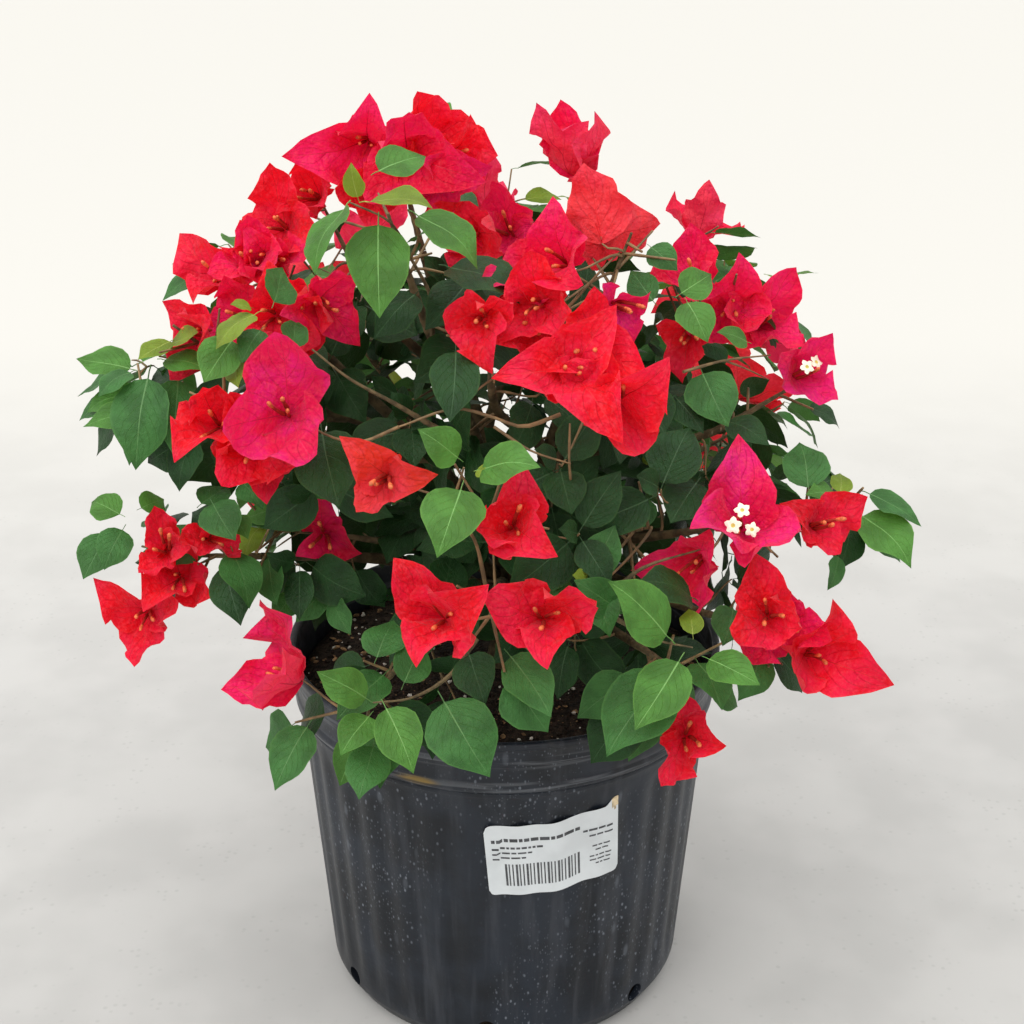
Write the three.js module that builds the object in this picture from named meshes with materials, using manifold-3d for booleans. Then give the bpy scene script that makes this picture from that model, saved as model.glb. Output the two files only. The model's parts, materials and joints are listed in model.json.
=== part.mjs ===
// A bougainvillea bush in its ribbed nursery pot: a short woody trunk, boughs that fork from it,
// and a rounded crown made of masses of foliage, each with its stem, twigs, leaves and blooms.
// Millimetres, +Z up. The origin is the middle of the pot's flat underside, and -Y is the front.

import * as THREE from "three";
import { mergeVertices } from "three/addons/utils/BufferGeometryUtils.js";
import Module from "manifold-3d";

const wasm = await Module();
wasm.setup();

// Driving sizes of the pot and of what fills it
const CLEAR = 0.3; // gap between solids that touch on the real plant
const FINENESS = 0.2; // corners that stand out by less than this are left out
const POT = {
  height: 240,
  rimRadius: 140,
  bandTopRadius: 138.5,
  bandFootRadius: 135,
  beadRadius: 136.8,
  wallTopRadius: 133.5,
  wallFootRadius: 119,
  baseRadius: 112,
  innerTopRadius: 135,
  innerFootRadius: 113,
  lipDepth: 4,
  bandFoot: 211,
  beadHeight: 208,
  wallTop: 202,
  fluteTop: 196,
  fluteFoot: 22,
  wallFoot: 12,
  floor: 4,
  flutes: 36,
  fluteDepth: 1.2,
};
const DRAIN = { count: 7, firstAngle: -57, radius: 6.5, height: 17, length: 16, sides: 8 };
const SOIL = { level: 214, rise: 8, footing: 22, shoulder: 0.72, segments: 36 };
const LABEL = { width: 82, height: 50, thickness: 0.6, middle: 154, arc: 31, tilt: 4, steps: 12 };

// Driving sizes of the plant
const TRUNK = { height: 66, flareRadius: 14, footRadius: 10, tipRadius: 6.5, sides: 9, steps: 6 };
const TRUNK_LEAN = { x: 6, y: 4 };
const BOUGH = { mainRadius: 5, sideRadius: 3.6, tipRadius: 2.3, sides: 5, steps: 5 };
const BEND = { outward: 1.1, spring: 0.36 }; // how a bough leaves its fork, and how stiffly
const STEM = { baseRadius: 2.2, tipRadius: 1.5, sides: 4, steps: 2, entry: 0.8, end: 0.35 };
const TWIG = {
  baseRadius: 1,
  tipRadius: 0.8,
  sides: 3,
  nodes: [0.45, 0.72, 0.97],
  first: 0.25,
  forward: [0.35, 0.85],
  length: [0.35, 0.75],
};
const LEAF = {
  length: 44,
  scale: [0.78, 1.18],
  width: 0.76,
  thickness: 1.3,
  lift: 0.1,
  widest: 0.45,
  along: 0.75,
  aside: [0.75, 1.05],
  droop: [0.25, 1],
  outward: 0.3,
  faceOutward: 0.9,
  sizes: [1, 0.8],
};
const BRACT = {
  length: 39,
  scale: [0.9, 1.15],
  width: 0.92,
  thickness: 0.8,
  lift: 0.14,
  widest: 0.52,
  opening: [46, 62],
  heart: 4,
};
const BLOOM = { forward: 0.28, fan: 70, bornAt: [0.45, 0.95] };
const BLOOM_TRIALS = [
  { spread: 1, size: 1 },
  { spread: 0.85, size: 1 },
  { spread: 1, size: 0.86 },
  { spread: 0.7, size: 1 },
  { spread: 0.8, size: 0.86 },
  { spread: 0.55, size: 0.86 },
  { spread: 0.8, size: 0.72 },
  { spread: 0.4, size: 0.72 },
];
const GOLDEN_ANGLE = 137.508;
const LIGHT = { lean: 0.6, edge: 70, fade: 60 }; // blooms in front of the edge lean forwards
const CROWN_FORK = [0, 0, 275]; // where the reach of every mass is measured from
const CROWN_HEART = [0, 0, 330]; // blooms and leaves face away from here
const GAP = { space: 0.35, limb: 0.9, pot: 3, soil: 4 }; // how far growth stays from each

// The masses, a row each. A mass's bough forks from the limb named second, at the fraction fork of
// that limb's length. Bearing is in degrees from +X towards +Y, rise is in degrees above the level,
// reach is from the crown's fork to the middle of the mass, and size is its radius. Its blooms
// stand in a ring round the way it faces, spread out by so much, the first of them turned by so
// many degrees to the left of the top. The last number is its leaves.
const COLUMNS = ["name", "from", "fork", "bearing", "rise", "reach", "size"];
const BEARS = ["blooms", "spread", "turn", "leaves"];
const MASSES = [
  ["crest_left", "trunk", 0.98, 142, 73, 264, 56, 4, 30, 45, 9],
  ["crest_right", "crest_left", 0.4, 14, 79, 262, 50, 2, 14, 0, 8],
  ["crest_back", "crest_left", 0.62, 84, 70, 226, 54, 3, 26, 0, 12],
  ["leader_left", "trunk", 0.9, 232, 69, 264, 48, 0, 0, 0, 10],
  ["shoulder_high", "crest_left", 0.5, 160, 64, 250, 54, 3, 24, 0, 7],
  ["shoulder_left", "trunk", 0.8, 174, 53, 254, 50, 4, 26, 0, 8],
  ["flank_left", "shoulder_left", 0.5, 192, 44, 254, 48, 1, 8, 90, 10],
  ["far_left", "flank_left", 0.45, 186, 33, 250, 40, 0, 0, 0, 10],
  ["front_left", "leader_left", 0.35, 215, 41, 236, 50, 3, 28, 320, 9],
  ["low_left", "trunk", 0.5, 195, 13, 202, 54, 4, 30, 0, 11],
  ["upper_right", "trunk", 0.94, 318, 69, 246, 54, 3, 26, 90, 9],
  ["middle_front", "upper_right", 0.45, 266, 60, 222, 42, 1, 12, 0, 9],
  ["heart_front", "trunk", 0.84, 293, 53, 230, 56, 4, 30, 25, 9],
  ["upper_flank_right", "trunk", 0.88, 354, 56, 230, 56, 4, 32, 20, 11],
  ["far_right", "upper_flank_right", 0.5, 350, 40, 217, 42, 1, 6, 0, 10],
  ["low_right", "trunk", 0.6, 319, 28, 200, 54, 3, 26, 60, 9],
  ["tip_right", "low_right", 0.4, 344, 22, 224, 40, 0, 0, 0, 9],
  ["under_right", "low_right", 0.3, 317, 11, 200, 48, 3, 26, 0, 8],
  ["rim_right", "trunk", 0.3, 299, 9, 192, 48, 1, 28, 180, 10],
  ["front_middle", "trunk", 0.66, 267, 36, 208, 54, 2, 36, 66, 10],
  ["front_low", "trunk", 0.4, 268, 22, 202, 50, 2, 28, 90, 9],
  ["rim_left", "trunk", 0.2, 246, 4, 182, 54, 1, 40, 55, 11],
  ["back_right", "upper_flank_right", 0.35, 40, 40, 236, 66, 4, 40, 70, 16],
  ["back_left", "shoulder_left", 0.35, 130, 40, 232, 66, 4, 40, 50, 16],
  ["low_back_right", "trunk", 0.46, 42, 13, 212, 62, 3, 38, 0, 14],
  ["low_back_left", "trunk", 0.54, 128, 12, 210, 62, 3, 38, 0, 14],
  ["inner_left", "trunk", 0.72, 198, 24, 138, 62, 1, 14, 200, 14],
  ["inner_right", "trunk", 0.78, 308, 34, 140, 64, 0, 0, 0, 16],
];

const vec = (x, y, z) => new THREE.Vector3(x, y, z);
const radians = THREE.MathUtils.degToRad;
const UP = vec(0, 0, 1);

// A direction from its bearing and its rise, both in degrees.
function heading(bearing, rise) {
  const level = Math.cos(radians(rise));
  return vec(
    level * Math.cos(radians(bearing)),
    level * Math.sin(radians(bearing)),
    Math.sin(radians(rise)),
  );
}

// The part of v that is square to axis, at length one.
function square(v, axis) {
  return v.clone().addScaledVector(axis, -v.dot(axis)).normalize();
}

// A direction square to axis, turned about it from the way that v leans.
function around(axis, v, degrees) {
  const first = square(v, axis);
  const second = axis.clone().cross(first);
  const angle = radians(degrees);
  return first.multiplyScalar(Math.cos(angle)).addScaledVector(second, Math.sin(angle));
}

// A sum of directions, each with its weight, at length one.
function blend(...terms) {
  const sum = vec(0, 0, 0);
  terms.forEach(([direction, weight]) => sum.addScaledVector(direction, weight));
  return sum.normalize();
}

// A stream of numbers from 0 to 1 that is the same on every run.
function seeded(seed) {
  let state = seed >>> 0;
  return () => {
    state = (state + 0x6d2b79f5) >>> 0;
    let t = Math.imul(state ^ (state >>> 15), state | 1);
    t ^= t + Math.imul(t ^ (t >>> 7), t | 61);
    return ((t ^ (t >>> 14)) >>> 0) / 4294967296;
  };
}

const between = ([least, most], chance) => least + (most - least) * chance();

// A closed geometry as a solid.
function solidOf(geometry) {
  const shape = geometry.clone();
  shape.deleteAttribute("normal");
  shape.deleteAttribute("uv");
  const merged = mergeVertices(shape, 1e-4);
  return closedSolid(merged.attributes.position.array, merged.index.array);
}

function closedSolid(positions, triangles) {
  return new wasm.Manifold(
    new wasm.Mesh({
      numProp: 3,
      vertProperties: new Float32Array(positions),
      triVerts: new Uint32Array(triangles),
    }),
  );
}

// A solid as a geometry, in one piece and without needless corners.
function geometryOf(solid) {
  const mesh = largestPiece(solid.asOriginal().simplify(FINENESS)).getMesh();
  const positions = new Float32Array(mesh.numVert * 3);
  for (let i = 0; i < mesh.numVert; i++) {
    const start = i * mesh.numProp;
    positions.set(mesh.vertProperties.subarray(start, start + 3), i * 3);
  }
  return new THREE.BufferGeometry()
    .setAttribute("position", new THREE.BufferAttribute(positions, 3))
    .setIndex(new THREE.BufferAttribute(mesh.triVerts, 1));
}

// The largest piece of a solid, without scraps and with sealed hollows filled.
function largestPiece(solid) {
  return solid.decompose().reduce((best, piece) => (piece.volume() > best.volume() ? piece : best));
}

// The outer radius of the tapered wall at a height.
function wallRadius(height) {
  const share = (height - POT.wallFoot) / (POT.wallTop - POT.wallFoot);
  return POT.wallFootRadius + share * (POT.wallTopRadius - POT.wallFootRadius);
}

// The radius of the smooth inner wall at a height.
function innerRadius(height) {
  const share = (height - POT.floor) / (POT.height - POT.floor);
  return POT.innerFootRadius + share * (POT.innerTopRadius - POT.innerFootRadius);
}

// The pot's section from its underside round the lip to its floor, as radius and height.
function potProfile() {
  return [
    [0, 0],
    [POT.baseRadius, 0],
    [POT.wallFootRadius, POT.wallFoot],
    [wallRadius(POT.fluteFoot), POT.fluteFoot],
    [wallRadius(POT.fluteTop), POT.fluteTop],
    [POT.wallTopRadius, POT.wallTop],
    [POT.beadRadius, POT.beadHeight],
    [POT.bandFootRadius, POT.bandFoot],
    [POT.bandTopRadius, POT.height - POT.lipDepth],
    [POT.rimRadius, POT.height - POT.lipDepth],
    [POT.rimRadius, POT.height],
    [POT.innerTopRadius, POT.height],
    [POT.innerFootRadius, POT.floor],
    [0, POT.floor],
  ];
}

function latheAboutZ(profile, segments) {
  const outline = profile.map(([radius, height]) => new THREE.Vector2(radius, height));
  return new THREE.LatheGeometry(outline, segments).rotateX(Math.PI / 2);
}

// Every other column of corners on the outer wall is pressed in, so that the wall is fluted.
function pressFlutes(geometry) {
  const position = geometry.attributes.position;
  const columns = POT.flutes * 2;
  for (let i = 0; i < position.count; i++) {
    const [x, y, height] = [position.getX(i), position.getY(i), position.getZ(i)];
    const radius = Math.hypot(x, y);
    const column = Math.round((Math.atan2(y, x) / (2 * Math.PI)) * columns);
    const onWall = height > POT.fluteFoot - 1 && height < POT.fluteTop + 1;
    if (onWall && column % 2 !== 0) {
      const share = (radius - POT.fluteDepth) / radius;
      position.setXY(i, x * share, y * share);
    }
  }
}

function makeDrainHole(index) {
  const angle = DRAIN.firstAngle + (360 / DRAIN.count) * index;
  return solidOf(
    new THREE.CylinderGeometry(DRAIN.radius, DRAIN.radius, DRAIN.length, DRAIN.sides)
      .rotateZ(Math.PI / 2)
      .translate(POT.wallFootRadius, 0, DRAIN.height)
      .rotateZ(radians(angle - 90)),
  );
}

function makePot() {
  const wall = latheAboutZ(potProfile(), POT.flutes * 2);
  pressFlutes(wall);
  const holes = Array.from({ length: DRAIN.count }, (_, index) => makeDrainHole(index));
  return largestPiece(solidOf(wall).subtract(wasm.Manifold.union(holes)));
}

// The potting mix, which fills the pot and is level where the trunk stands.
function makeSoil() {
  const flat = Math.cos(Math.PI / (POT.flutes * 2)); // the pot's facets lie nearer than its corners
  const edgeAt = (height) => innerRadius(height) * flat - CLEAR;
  const floor = POT.floor + CLEAR;
  const crown = SOIL.level + SOIL.rise;
  const shoulder = edgeAt(SOIL.level) * SOIL.shoulder;
  return solidOf(
    latheAboutZ(
      [
        [0, floor],
        [edgeAt(floor), floor],
        [edgeAt(SOIL.level), SOIL.level],
        [shoulder, SOIL.level + SOIL.rise * SOIL.shoulder],
        [SOIL.footing, crown],
        [0, crown],
      ],
      SOIL.segments,
    ),
  );
}

// The blank label, a thin plate bent round the wall.
function makeLabel() {
  const { width, height, thickness, steps } = LABEL;
  const plate = new THREE.BoxGeometry(width, thickness, height, steps, 1, 1);
  plate.rotateY(radians(-LABEL.tilt));
  const position = plate.attributes.position;
  for (let i = 0; i < position.count; i++) {
    const level = LABEL.middle + position.getZ(i);
    const radius = wallRadius(level) + CLEAR + thickness / 2 - position.getY(i);
    const angle = (LABEL.arc + position.getX(i)) / wallRadius(LABEL.middle);
    position.setXYZ(i, radius * Math.sin(angle), -radius * Math.cos(angle), level);
  }
  return solidOf(plate);
}

const taper = (base, tip) => (share) => base + (tip - base) * share;

// The solid of a limb, which is a tapering rod along a curve, grown by extra all round.
function limbSolid({ curve, radiusAt, sides, steps }, extra = 0) {
  const rod = new THREE.CylinderGeometry(1, 1, 1, sides, steps);
  const frames = curve.computeFrenetFrames(steps, false);
  const position = rod.attributes.position;
  for (let i = 0; i < position.count; i++) {
    const ring = Math.round((0.5 - position.getY(i)) * steps);
    const radius = radiusAt(ring / steps) + extra;
    const place = curve
      .getPointAt(ring / steps)
      .addScaledVector(frames.normals[ring], position.getX(i) * radius)
      .addScaledVector(frames.binormals[ring], position.getZ(i) * radius);
    position.setXYZ(i, place.x, place.y, place.z);
  }
  return solidOf(rod);
}

// Places along a limb with its radius there, close enough together to test against.
function limbSamples({ curve, radiusAt }) {
  const count = Math.ceil(curve.getLength() / 3);
  return Array.from({ length: count + 1 }, (_, i) => ({
    place: curve.getPointAt(i / count),
    radius: radiusAt(i / count),
  }));
}

const TRUNK_FOOT = SOIL.level + SOIL.rise + CLEAR;

// The trunk leans a little, and its foot flares into the soil.
function makeTrunk() {
  const { height, flareRadius, footRadius, tipRadius, sides, steps } = TRUNK;
  const leanAt = (lean, share) =>
    vec(TRUNK_LEAN.x * lean, TRUNK_LEAN.y * lean, TRUNK_FOOT + height * share);
  const curve = new THREE.CatmullRomCurve3([
    leanAt(0, -0.05),
    leanAt(0.1, 0.3),
    leanAt(0.55, 0.7),
    leanAt(1, 1),
  ]);
  const radiusAt = (share) =>
    taper(footRadius, tipRadius)(share) +
    (flareRadius - footRadius) * Math.max(0, 1 - share * 4) ** 2;
  return { curve, radiusAt, sides, steps };
}

// A row of the table with the mass's middle, the way it faces and the way its stem runs.
function placeMass(row, index) {
  const named = [...COLUMNS, ...BEARS].map((column, i) => [column, row[i]]);
  const mass = Object.fromEntries(named);
  const out = heading(mass.bearing, mass.rise);
  const middle = vec(...CROWN_FORK).addScaledVector(out, mass.reach);
  const away = middle.clone().sub(vec(...CROWN_HEART)).normalize();
  const share = THREE.MathUtils.clamp((LIGHT.edge - middle.y) / LIGHT.fade, 0, 1);
  const face = blend([away, 1], [vec(0, -1, 0), LIGHT.lean * share]);
  return { ...mass, index, middle, face, run: blend([out, 1], [away, 0.5]) };
}

// The bough that carries a mass leaves its parent limb at a fork and ends at the mass.
function makeBough(mass, parent) {
  const start = parent.curve.getPointAt(mass.fork);
  const along = parent.curve.getTangentAt(mass.fork);
  const tip = mass.middle.clone().addScaledVector(mass.run, -mass.size * STEM.entry);
  const chord = tip.clone().sub(start);
  const spring = chord.length() * BEND.spring;
  const leave = blend([along, 1], [chord.normalize(), BEND.outward]);
  const curve = new THREE.CubicBezierCurve3(
    start,
    start.clone().addScaledVector(leave, spring),
    tip.clone().addScaledVector(mass.run, -spring),
    tip,
  );
  const base = mass.from === "trunk" ? BOUGH.mainRadius : BOUGH.sideRadius;
  const { tipRadius, sides, steps } = BOUGH;
  return { curve, radiusAt: taper(base, tipRadius), sides, steps };
}

// The stem of a mass, straight on from its bough's tip.
function makeStem(mass) {
  const start = mass.bough.curve.getPointAt(1).addScaledVector(mass.run, CLEAR);
  const end = mass.middle.clone().addScaledVector(mass.run, mass.size * STEM.end);
  const curve = new THREE.QuadraticBezierCurve3(start, mass.middle.clone(), end);
  const { baseRadius, tipRadius, sides, steps } = STEM;
  return { curve, radiusAt: taper(baseRadius, tipRadius), sides, steps };
}

function makeTwig(start, end) {
  const { baseRadius, tipRadius, sides } = TWIG;
  const curve = new THREE.LineCurve3(start, end);
  return { curve, radiusAt: taper(baseRadius, tipRadius), sides, steps: 1 };
}

// A blade is a thin folded kite. Its six corners are its root, its tip, its two sides and the
// middle of each face. way points from root to tip, and face points out of its upper side.
function blade(root, way, face, length, { width, thickness, widest, lift }) {
  const up = square(face, way);
  const side = way.clone().cross(up);
  const at = (along, across, rise) =>
    root
      .clone()
      .addScaledVector(way, along * length)
      .addScaledVector(side, across * length)
      .addScaledVector(up, rise);
  return {
    root: at(0, 0, 0),
    tip: at(1, 0, 0),
    left: at(widest, -width / 2, lift * length),
    right: at(widest, width / 2, lift * length),
    over: at(widest, 0, thickness / 2),
    under: at(widest, 0, -thickness / 2),
  };
}

const BLADE_CORNERS = ["root", "tip", "left", "right", "over", "under"];
const BLADE_FACES = [
  ["root", "right", "over"],
  ["right", "tip", "over"],
  ["tip", "left", "over"],
  ["left", "root", "over"],
];

function bladeSolid(corners) {
  const positions = BLADE_CORNERS.flatMap((name) => corners[name].toArray());
  const over = BLADE_FACES.map((face) => face.map((name) => BLADE_CORNERS.indexOf(name)));
  const under = over.map(([a, b]) => [b, a, BLADE_CORNERS.indexOf("under")]);
  return closedSolid(positions, [...over, ...under].flat());
}

// Whether a point keeps to the space of a mass: nearer to its middle than to any other's, by
// squared distance less squared size, and clear of the pot and its soil.
function inSpace(point, mass, slack = 0) {
  const own = point.distanceToSquared(mass.middle) - mass.size ** 2;
  const inCell = masses.every((other) => {
    if (other === mass) return true;
    const spread = 2 * other.middle.distanceTo(mass.middle);
    const rival = point.distanceToSquared(other.middle) - other.size ** 2;
    return (rival - own) / spread > GAP.space + slack;
  });
  const radius = Math.hypot(point.x, point.y);
  const insidePot = radius < innerRadius(POT.height) - GAP.pot;
  const aboveSoil = point.z > SOIL.level + SOIL.rise + GAP.soil;
  const aboveRim = point.z > POT.height + GAP.pot;
  const outsidePot = radius > POT.rimRadius + GAP.pot;
  return inCell && (aboveRim || outsidePot || (insidePot && aboveSoil));
}

// Whether a blade keeps to its mass's space and clear of limbs that belong to other solids.
function bladeFits(corners, mass) {
  const { root, tip, left, right } = corners;
  const edges = [
    [root, tip],
    [left, tip],
    [right, tip],
    [root, left],
    [root, right],
  ];
  const halfway = edges.map(([from, to]) => from.clone().lerp(to, 0.5));
  const inside = [...Object.values(corners), ...halfway].every((place) => inSpace(place, mass));
  return inside && clearOfLimbs(corners, mass.foreignLimbs);
}

function clearOfLimbs(corners, samples) {
  const middle = corners.root.clone().lerp(corners.tip, 0.5);
  const around = middle.distanceTo(corners.tip) * 1.2 + BOUGH.mainRadius + GAP.pot;
  const near = samples.filter(({ place }) => place.distanceTo(middle) < around);
  const triangle = new THREE.Triangle();
  const closest = vec(0, 0, 0);
  return BLADE_FACES.every(([a, b, c]) => {
    triangle.set(corners[a], corners[b], corners[c]);
    return near.every(({ place, radius }) => {
      triangle.closestPointToPoint(place, closest);
      return closest.distanceTo(place) > radius + GAP.limb;
    });
  });
}

// Whether a twig keeps to the mass's space and clear of the limbs of other solids.
function twigFits({ curve }, mass) {
  const places = curve.getSpacedPoints(Math.ceil(curve.getLength() / 3));
  return places.every((place, index) => {
    const clear = mass.foreignLimbs.every(
      (sample) => sample.place.distanceTo(place) > sample.radius + TWIG.baseRadius + GAP.limb,
    );
    return clear && inSpace(place, mass, index === 0 ? STEM.baseRadius : TWIG.baseRadius);
  });
}

// Whether two blades of a mass cross, away from their roots.
function bladesCross(one, other) {
  const reach = one.tip.distanceTo(one.root) + other.tip.distanceTo(other.root);
  const near = one.over.distanceTo(other.over) < reach;
  return near && (edgesCross(one, other) || edgesCross(other, one));
}

function edgesCross(one, other) {
  const heel = one.root.clone().lerp(one.over, 0.35);
  const edges = [
    [one.left, one.tip],
    [one.right, one.tip],
    [one.left, heel],
    [one.right, heel],
    [heel, one.tip],
    [one.left, one.right],
  ];
  const sides = [
    [other.root, other.right, other.tip],
    [other.tip, other.left, other.root],
  ];
  const hit = vec(0, 0, 0);
  return edges.some(([from, to]) => {
    const length = from.distanceTo(to);
    const ray = new THREE.Ray(from, to.clone().sub(from).divideScalar(length));
    return sides.some((side) => {
      const met = ray.intersectTriangle(...side, false, hit);
      return met && met.distanceTo(from) < length && met.distanceTo(other.root) > BRACT.heart;
    });
  });
}

// A leaf at a node of a twig points out and down, and its upper face looks up and out.
function leafAt(node, twigWay, hand, mass, chance) {
  const across = twigWay.clone().cross(UP).normalize().multiplyScalar(hand);
  const droop = between(LEAF.droop, chance);
  const way = blend(
    [twigWay, LEAF.along],
    [across, between(LEAF.aside, chance)],
    [mass.face, LEAF.outward],
    [UP, -droop],
  );
  const face = blend([UP, 1], [mass.face, LEAF.faceOutward]);
  const length = LEAF.length * between(LEAF.scale, chance);
  const sizes = LEAF.sizes.map((size) => blade(node, way, face, length * size, LEAF));
  return sizes.find((corners) => bladeFits(corners, mass));
}

// A bloom is three broad bracts that meet in a heart at the end of its twig.
function bloomAt(site, axis, size, roll, vigour) {
  const length = BRACT.length * size * between(BRACT.scale, () => vigour);
  const opening = radians(between(BRACT.opening, () => vigour));
  const bracts = [0, 1, 2].map((k) => {
    const outwards = around(axis, UP, roll + 120 * k);
    const way = blend([axis, Math.cos(opening)], [outwards, Math.sin(opening)]);
    return blade(site, way, axis, length, BRACT);
  });
  const over = site.clone().addScaledVector(axis, BRACT.heart * 0.4);
  const under = site.clone().addScaledVector(axis, -BRACT.heart);
  return { over, under, bracts };
}

// A bloom's solid: its upper and lower faces are fans about the heart that share one edge.
function bloomSolid({ over, under, bracts }) {
  const rim = bracts.flatMap(({ left, tip, right }) => [right, tip, left]);
  const faces = rim.flatMap((_, i) => {
    const here = i + 2;
    const next = ((i + 1) % rim.length) + 2;
    return [0, here, next, 1, next, here];
  });
  const positions = [over, under, ...rim].flatMap((corner) => corner.toArray());
  return closedSolid(positions, faces);
}

// A bloom of a mass, moved in or made smaller until it fits, with its twig.
function growBloom(k, mass, chance) {
  const aside = around(mass.face, UP, mass.turn + (k * 360) / mass.blooms);
  const start = mass.stem.curve.getPointAt(between(BLOOM.bornAt, chance));
  const roll = 120 * chance();
  const vigour = chance();
  for (const trial of BLOOM_TRIALS) {
    const spread = mass.spread * trial.spread;
    const site = mass.middle
      .clone()
      .addScaledVector(aside, spread)
      .addScaledVector(mass.face, mass.size * BLOOM.forward);
    const axis = blend([mass.face, 1], [aside, spread / BLOOM.fan]);
    const twig = makeTwig(start, site);
    const bloom = bloomAt(site, axis, trial.size, roll, vigour);
    const fits = bloom.bracts.every((corners) => bladeFits(corners, mass));
    if (fits && twigFits(twig, mass)) return { twig, bloom };
  }
  return null;
}

// The twig that the rule grows k-th from a mass's stem.
function growTwig(k, mass, chance) {
  const along = TWIG.first + (1 - TWIG.first) * ((k * 0.618) % 1);
  const start = mass.stem.curve.getPointAt(along);
  const axis = mass.stem.curve.getTangentAt(along);
  const aside = around(axis, UP, mass.turn + k * GOLDEN_ANGLE);
  const way = blend([aside, 1], [axis, between(TWIG.forward, chance)]);
  const end = start.clone().addScaledVector(way, mass.size * between(TWIG.length, chance));
  return { ...makeTwig(start, end), way };
}

// Everything that one mass bears: its twigs, its blooms and its leaves.
function growMass(mass) {
  const chance = seeded(7919 * (mass.index + 1));
  const grown = { twigs: [], leaves: [], blooms: [] };
  const blades = [];
  for (let k = 0; k < mass.blooms; k++) {
    const found = growBloom(k, mass, chance);
    if (!found) continue;
    grown.twigs.push(found.twig);
    grown.blooms.push(found.bloom);
    blades.push(...found.bloom.bracts);
  }
  const tries = Math.ceil(mass.leaves / TWIG.nodes.length) * 4;
  for (let k = 0; k < tries && grown.leaves.length < mass.leaves; k++) {
    const twig = growTwig(k, mass, chance);
    if (!twigFits(twig, mass)) continue;
    const before = grown.leaves.length;
    for (const [n, share] of TWIG.nodes.entries()) {
      const hand = (n + k) % 2 ? 1 : -1;
      const leaf = leafAt(twig.curve.getPointAt(share), twig.way, hand, mass, chance);
      const wanted = leaf && grown.leaves.length < mass.leaves;
      if (wanted && !blades.some((other) => bladesCross(leaf, other))) {
        grown.leaves.push(leaf);
        blades.push(leaf);
      }
    }
    if (grown.leaves.length > before) grown.twigs.push(twig);
  }
  return grown;
}

const trunk = makeTrunk();
const limbs = new Map([["trunk", trunk]]);
const masses = MASSES.map(placeMass);
for (const mass of masses) {
  mass.bough = makeBough(mass, limbs.get(mass.from));
  mass.stem = makeStem(mass);
  limbs.set(mass.name, mass.bough);
}
const limbTests = [...limbs.values()].flatMap(limbSamples);
for (const mass of masses) {
  const others = masses.filter((other) => other !== mass);
  mass.foreignLimbs = [...limbTests, ...others.flatMap((other) => limbSamples(other.stem))];
  mass.growth = growMass(mass);
}

const MATERIALS = {
  pot: new THREE.MeshStandardMaterial({ color: 0x24262a, roughness: 0.6, metalness: 0 }),
  soil: new THREE.MeshStandardMaterial({ color: 0x2a1f18, roughness: 1, metalness: 0 }),
  label: new THREE.MeshStandardMaterial({ color: 0xe8e9e6, roughness: 0.5, metalness: 0 }),
  bark: new THREE.MeshStandardMaterial({ color: 0x6b5134, roughness: 0.9, metalness: 0 }),
  foliage: new THREE.MeshStandardMaterial({ color: 0x2f6b34, roughness: 0.6, metalness: 0 }),
  blossom: new THREE.MeshStandardMaterial({ color: 0xd81f38, roughness: 0.7, metalness: 0 }),
};

const bush = new THREE.Group();

function addPart(name, solid, material) {
  const mesh = new THREE.Mesh(geometryOf(solid), material);
  mesh.name = name;
  bush.add(mesh);
}

addPart("pot", makePot(), MATERIALS.pot);
addPart("soil", makeSoil(), MATERIALS.soil);
addPart("label", makeLabel(), MATERIALS.label);
addPart("trunk", limbSolid(trunk).trimByPlane(UP.toArray(), TRUNK_FOOT), MATERIALS.bark);

// Each bough is cut clear of the limbs made before it, so that a fork has a thin gap.
let standing = limbSolid(trunk, CLEAR);
for (const mass of masses) {
  const bough = largestPiece(limbSolid(mass.bough).subtract(standing));
  addPart("bough_" + mass.name, bough, MATERIALS.bark);
  standing = standing.add(limbSolid(mass.bough, CLEAR));
}

// Each mass is fused from its stem, its twigs, its leaves and its blooms.
for (const mass of masses) {
  const { twigs, leaves, blooms } = mass.growth;
  const fused = wasm.Manifold.union([
    limbSolid(mass.stem),
    ...twigs.map((twig) => limbSolid(twig)),
    ...leaves.map(bladeSolid),
    ...blooms.map(bloomSolid),
  ]);
  const kind = blooms.length ? MATERIALS.blossom : MATERIALS.foliage;
  addPart("mass_" + mass.name, fused, kind);
}

export default bush;
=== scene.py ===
"""A bougainvillea bush in a ribbed nursery pot.

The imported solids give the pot, the limbs and the space of every mass of foliage. The plant is grown
again here by the same rule, carried on to finer twigs, and every piece gets its shape and finish.
Growth is worked out in millimetres, and meshes are made in metres.
"""

import json
import math

import bmesh
import bpy
import numpy as np
from bpy.props import FloatProperty, FloatVectorProperty, IntProperty, PointerProperty
from mathutils import Matrix, Vector
from mathutils.geometry import closest_point_on_tri, intersect_ray_tri
from mathutils.kdtree import KDTree

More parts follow.
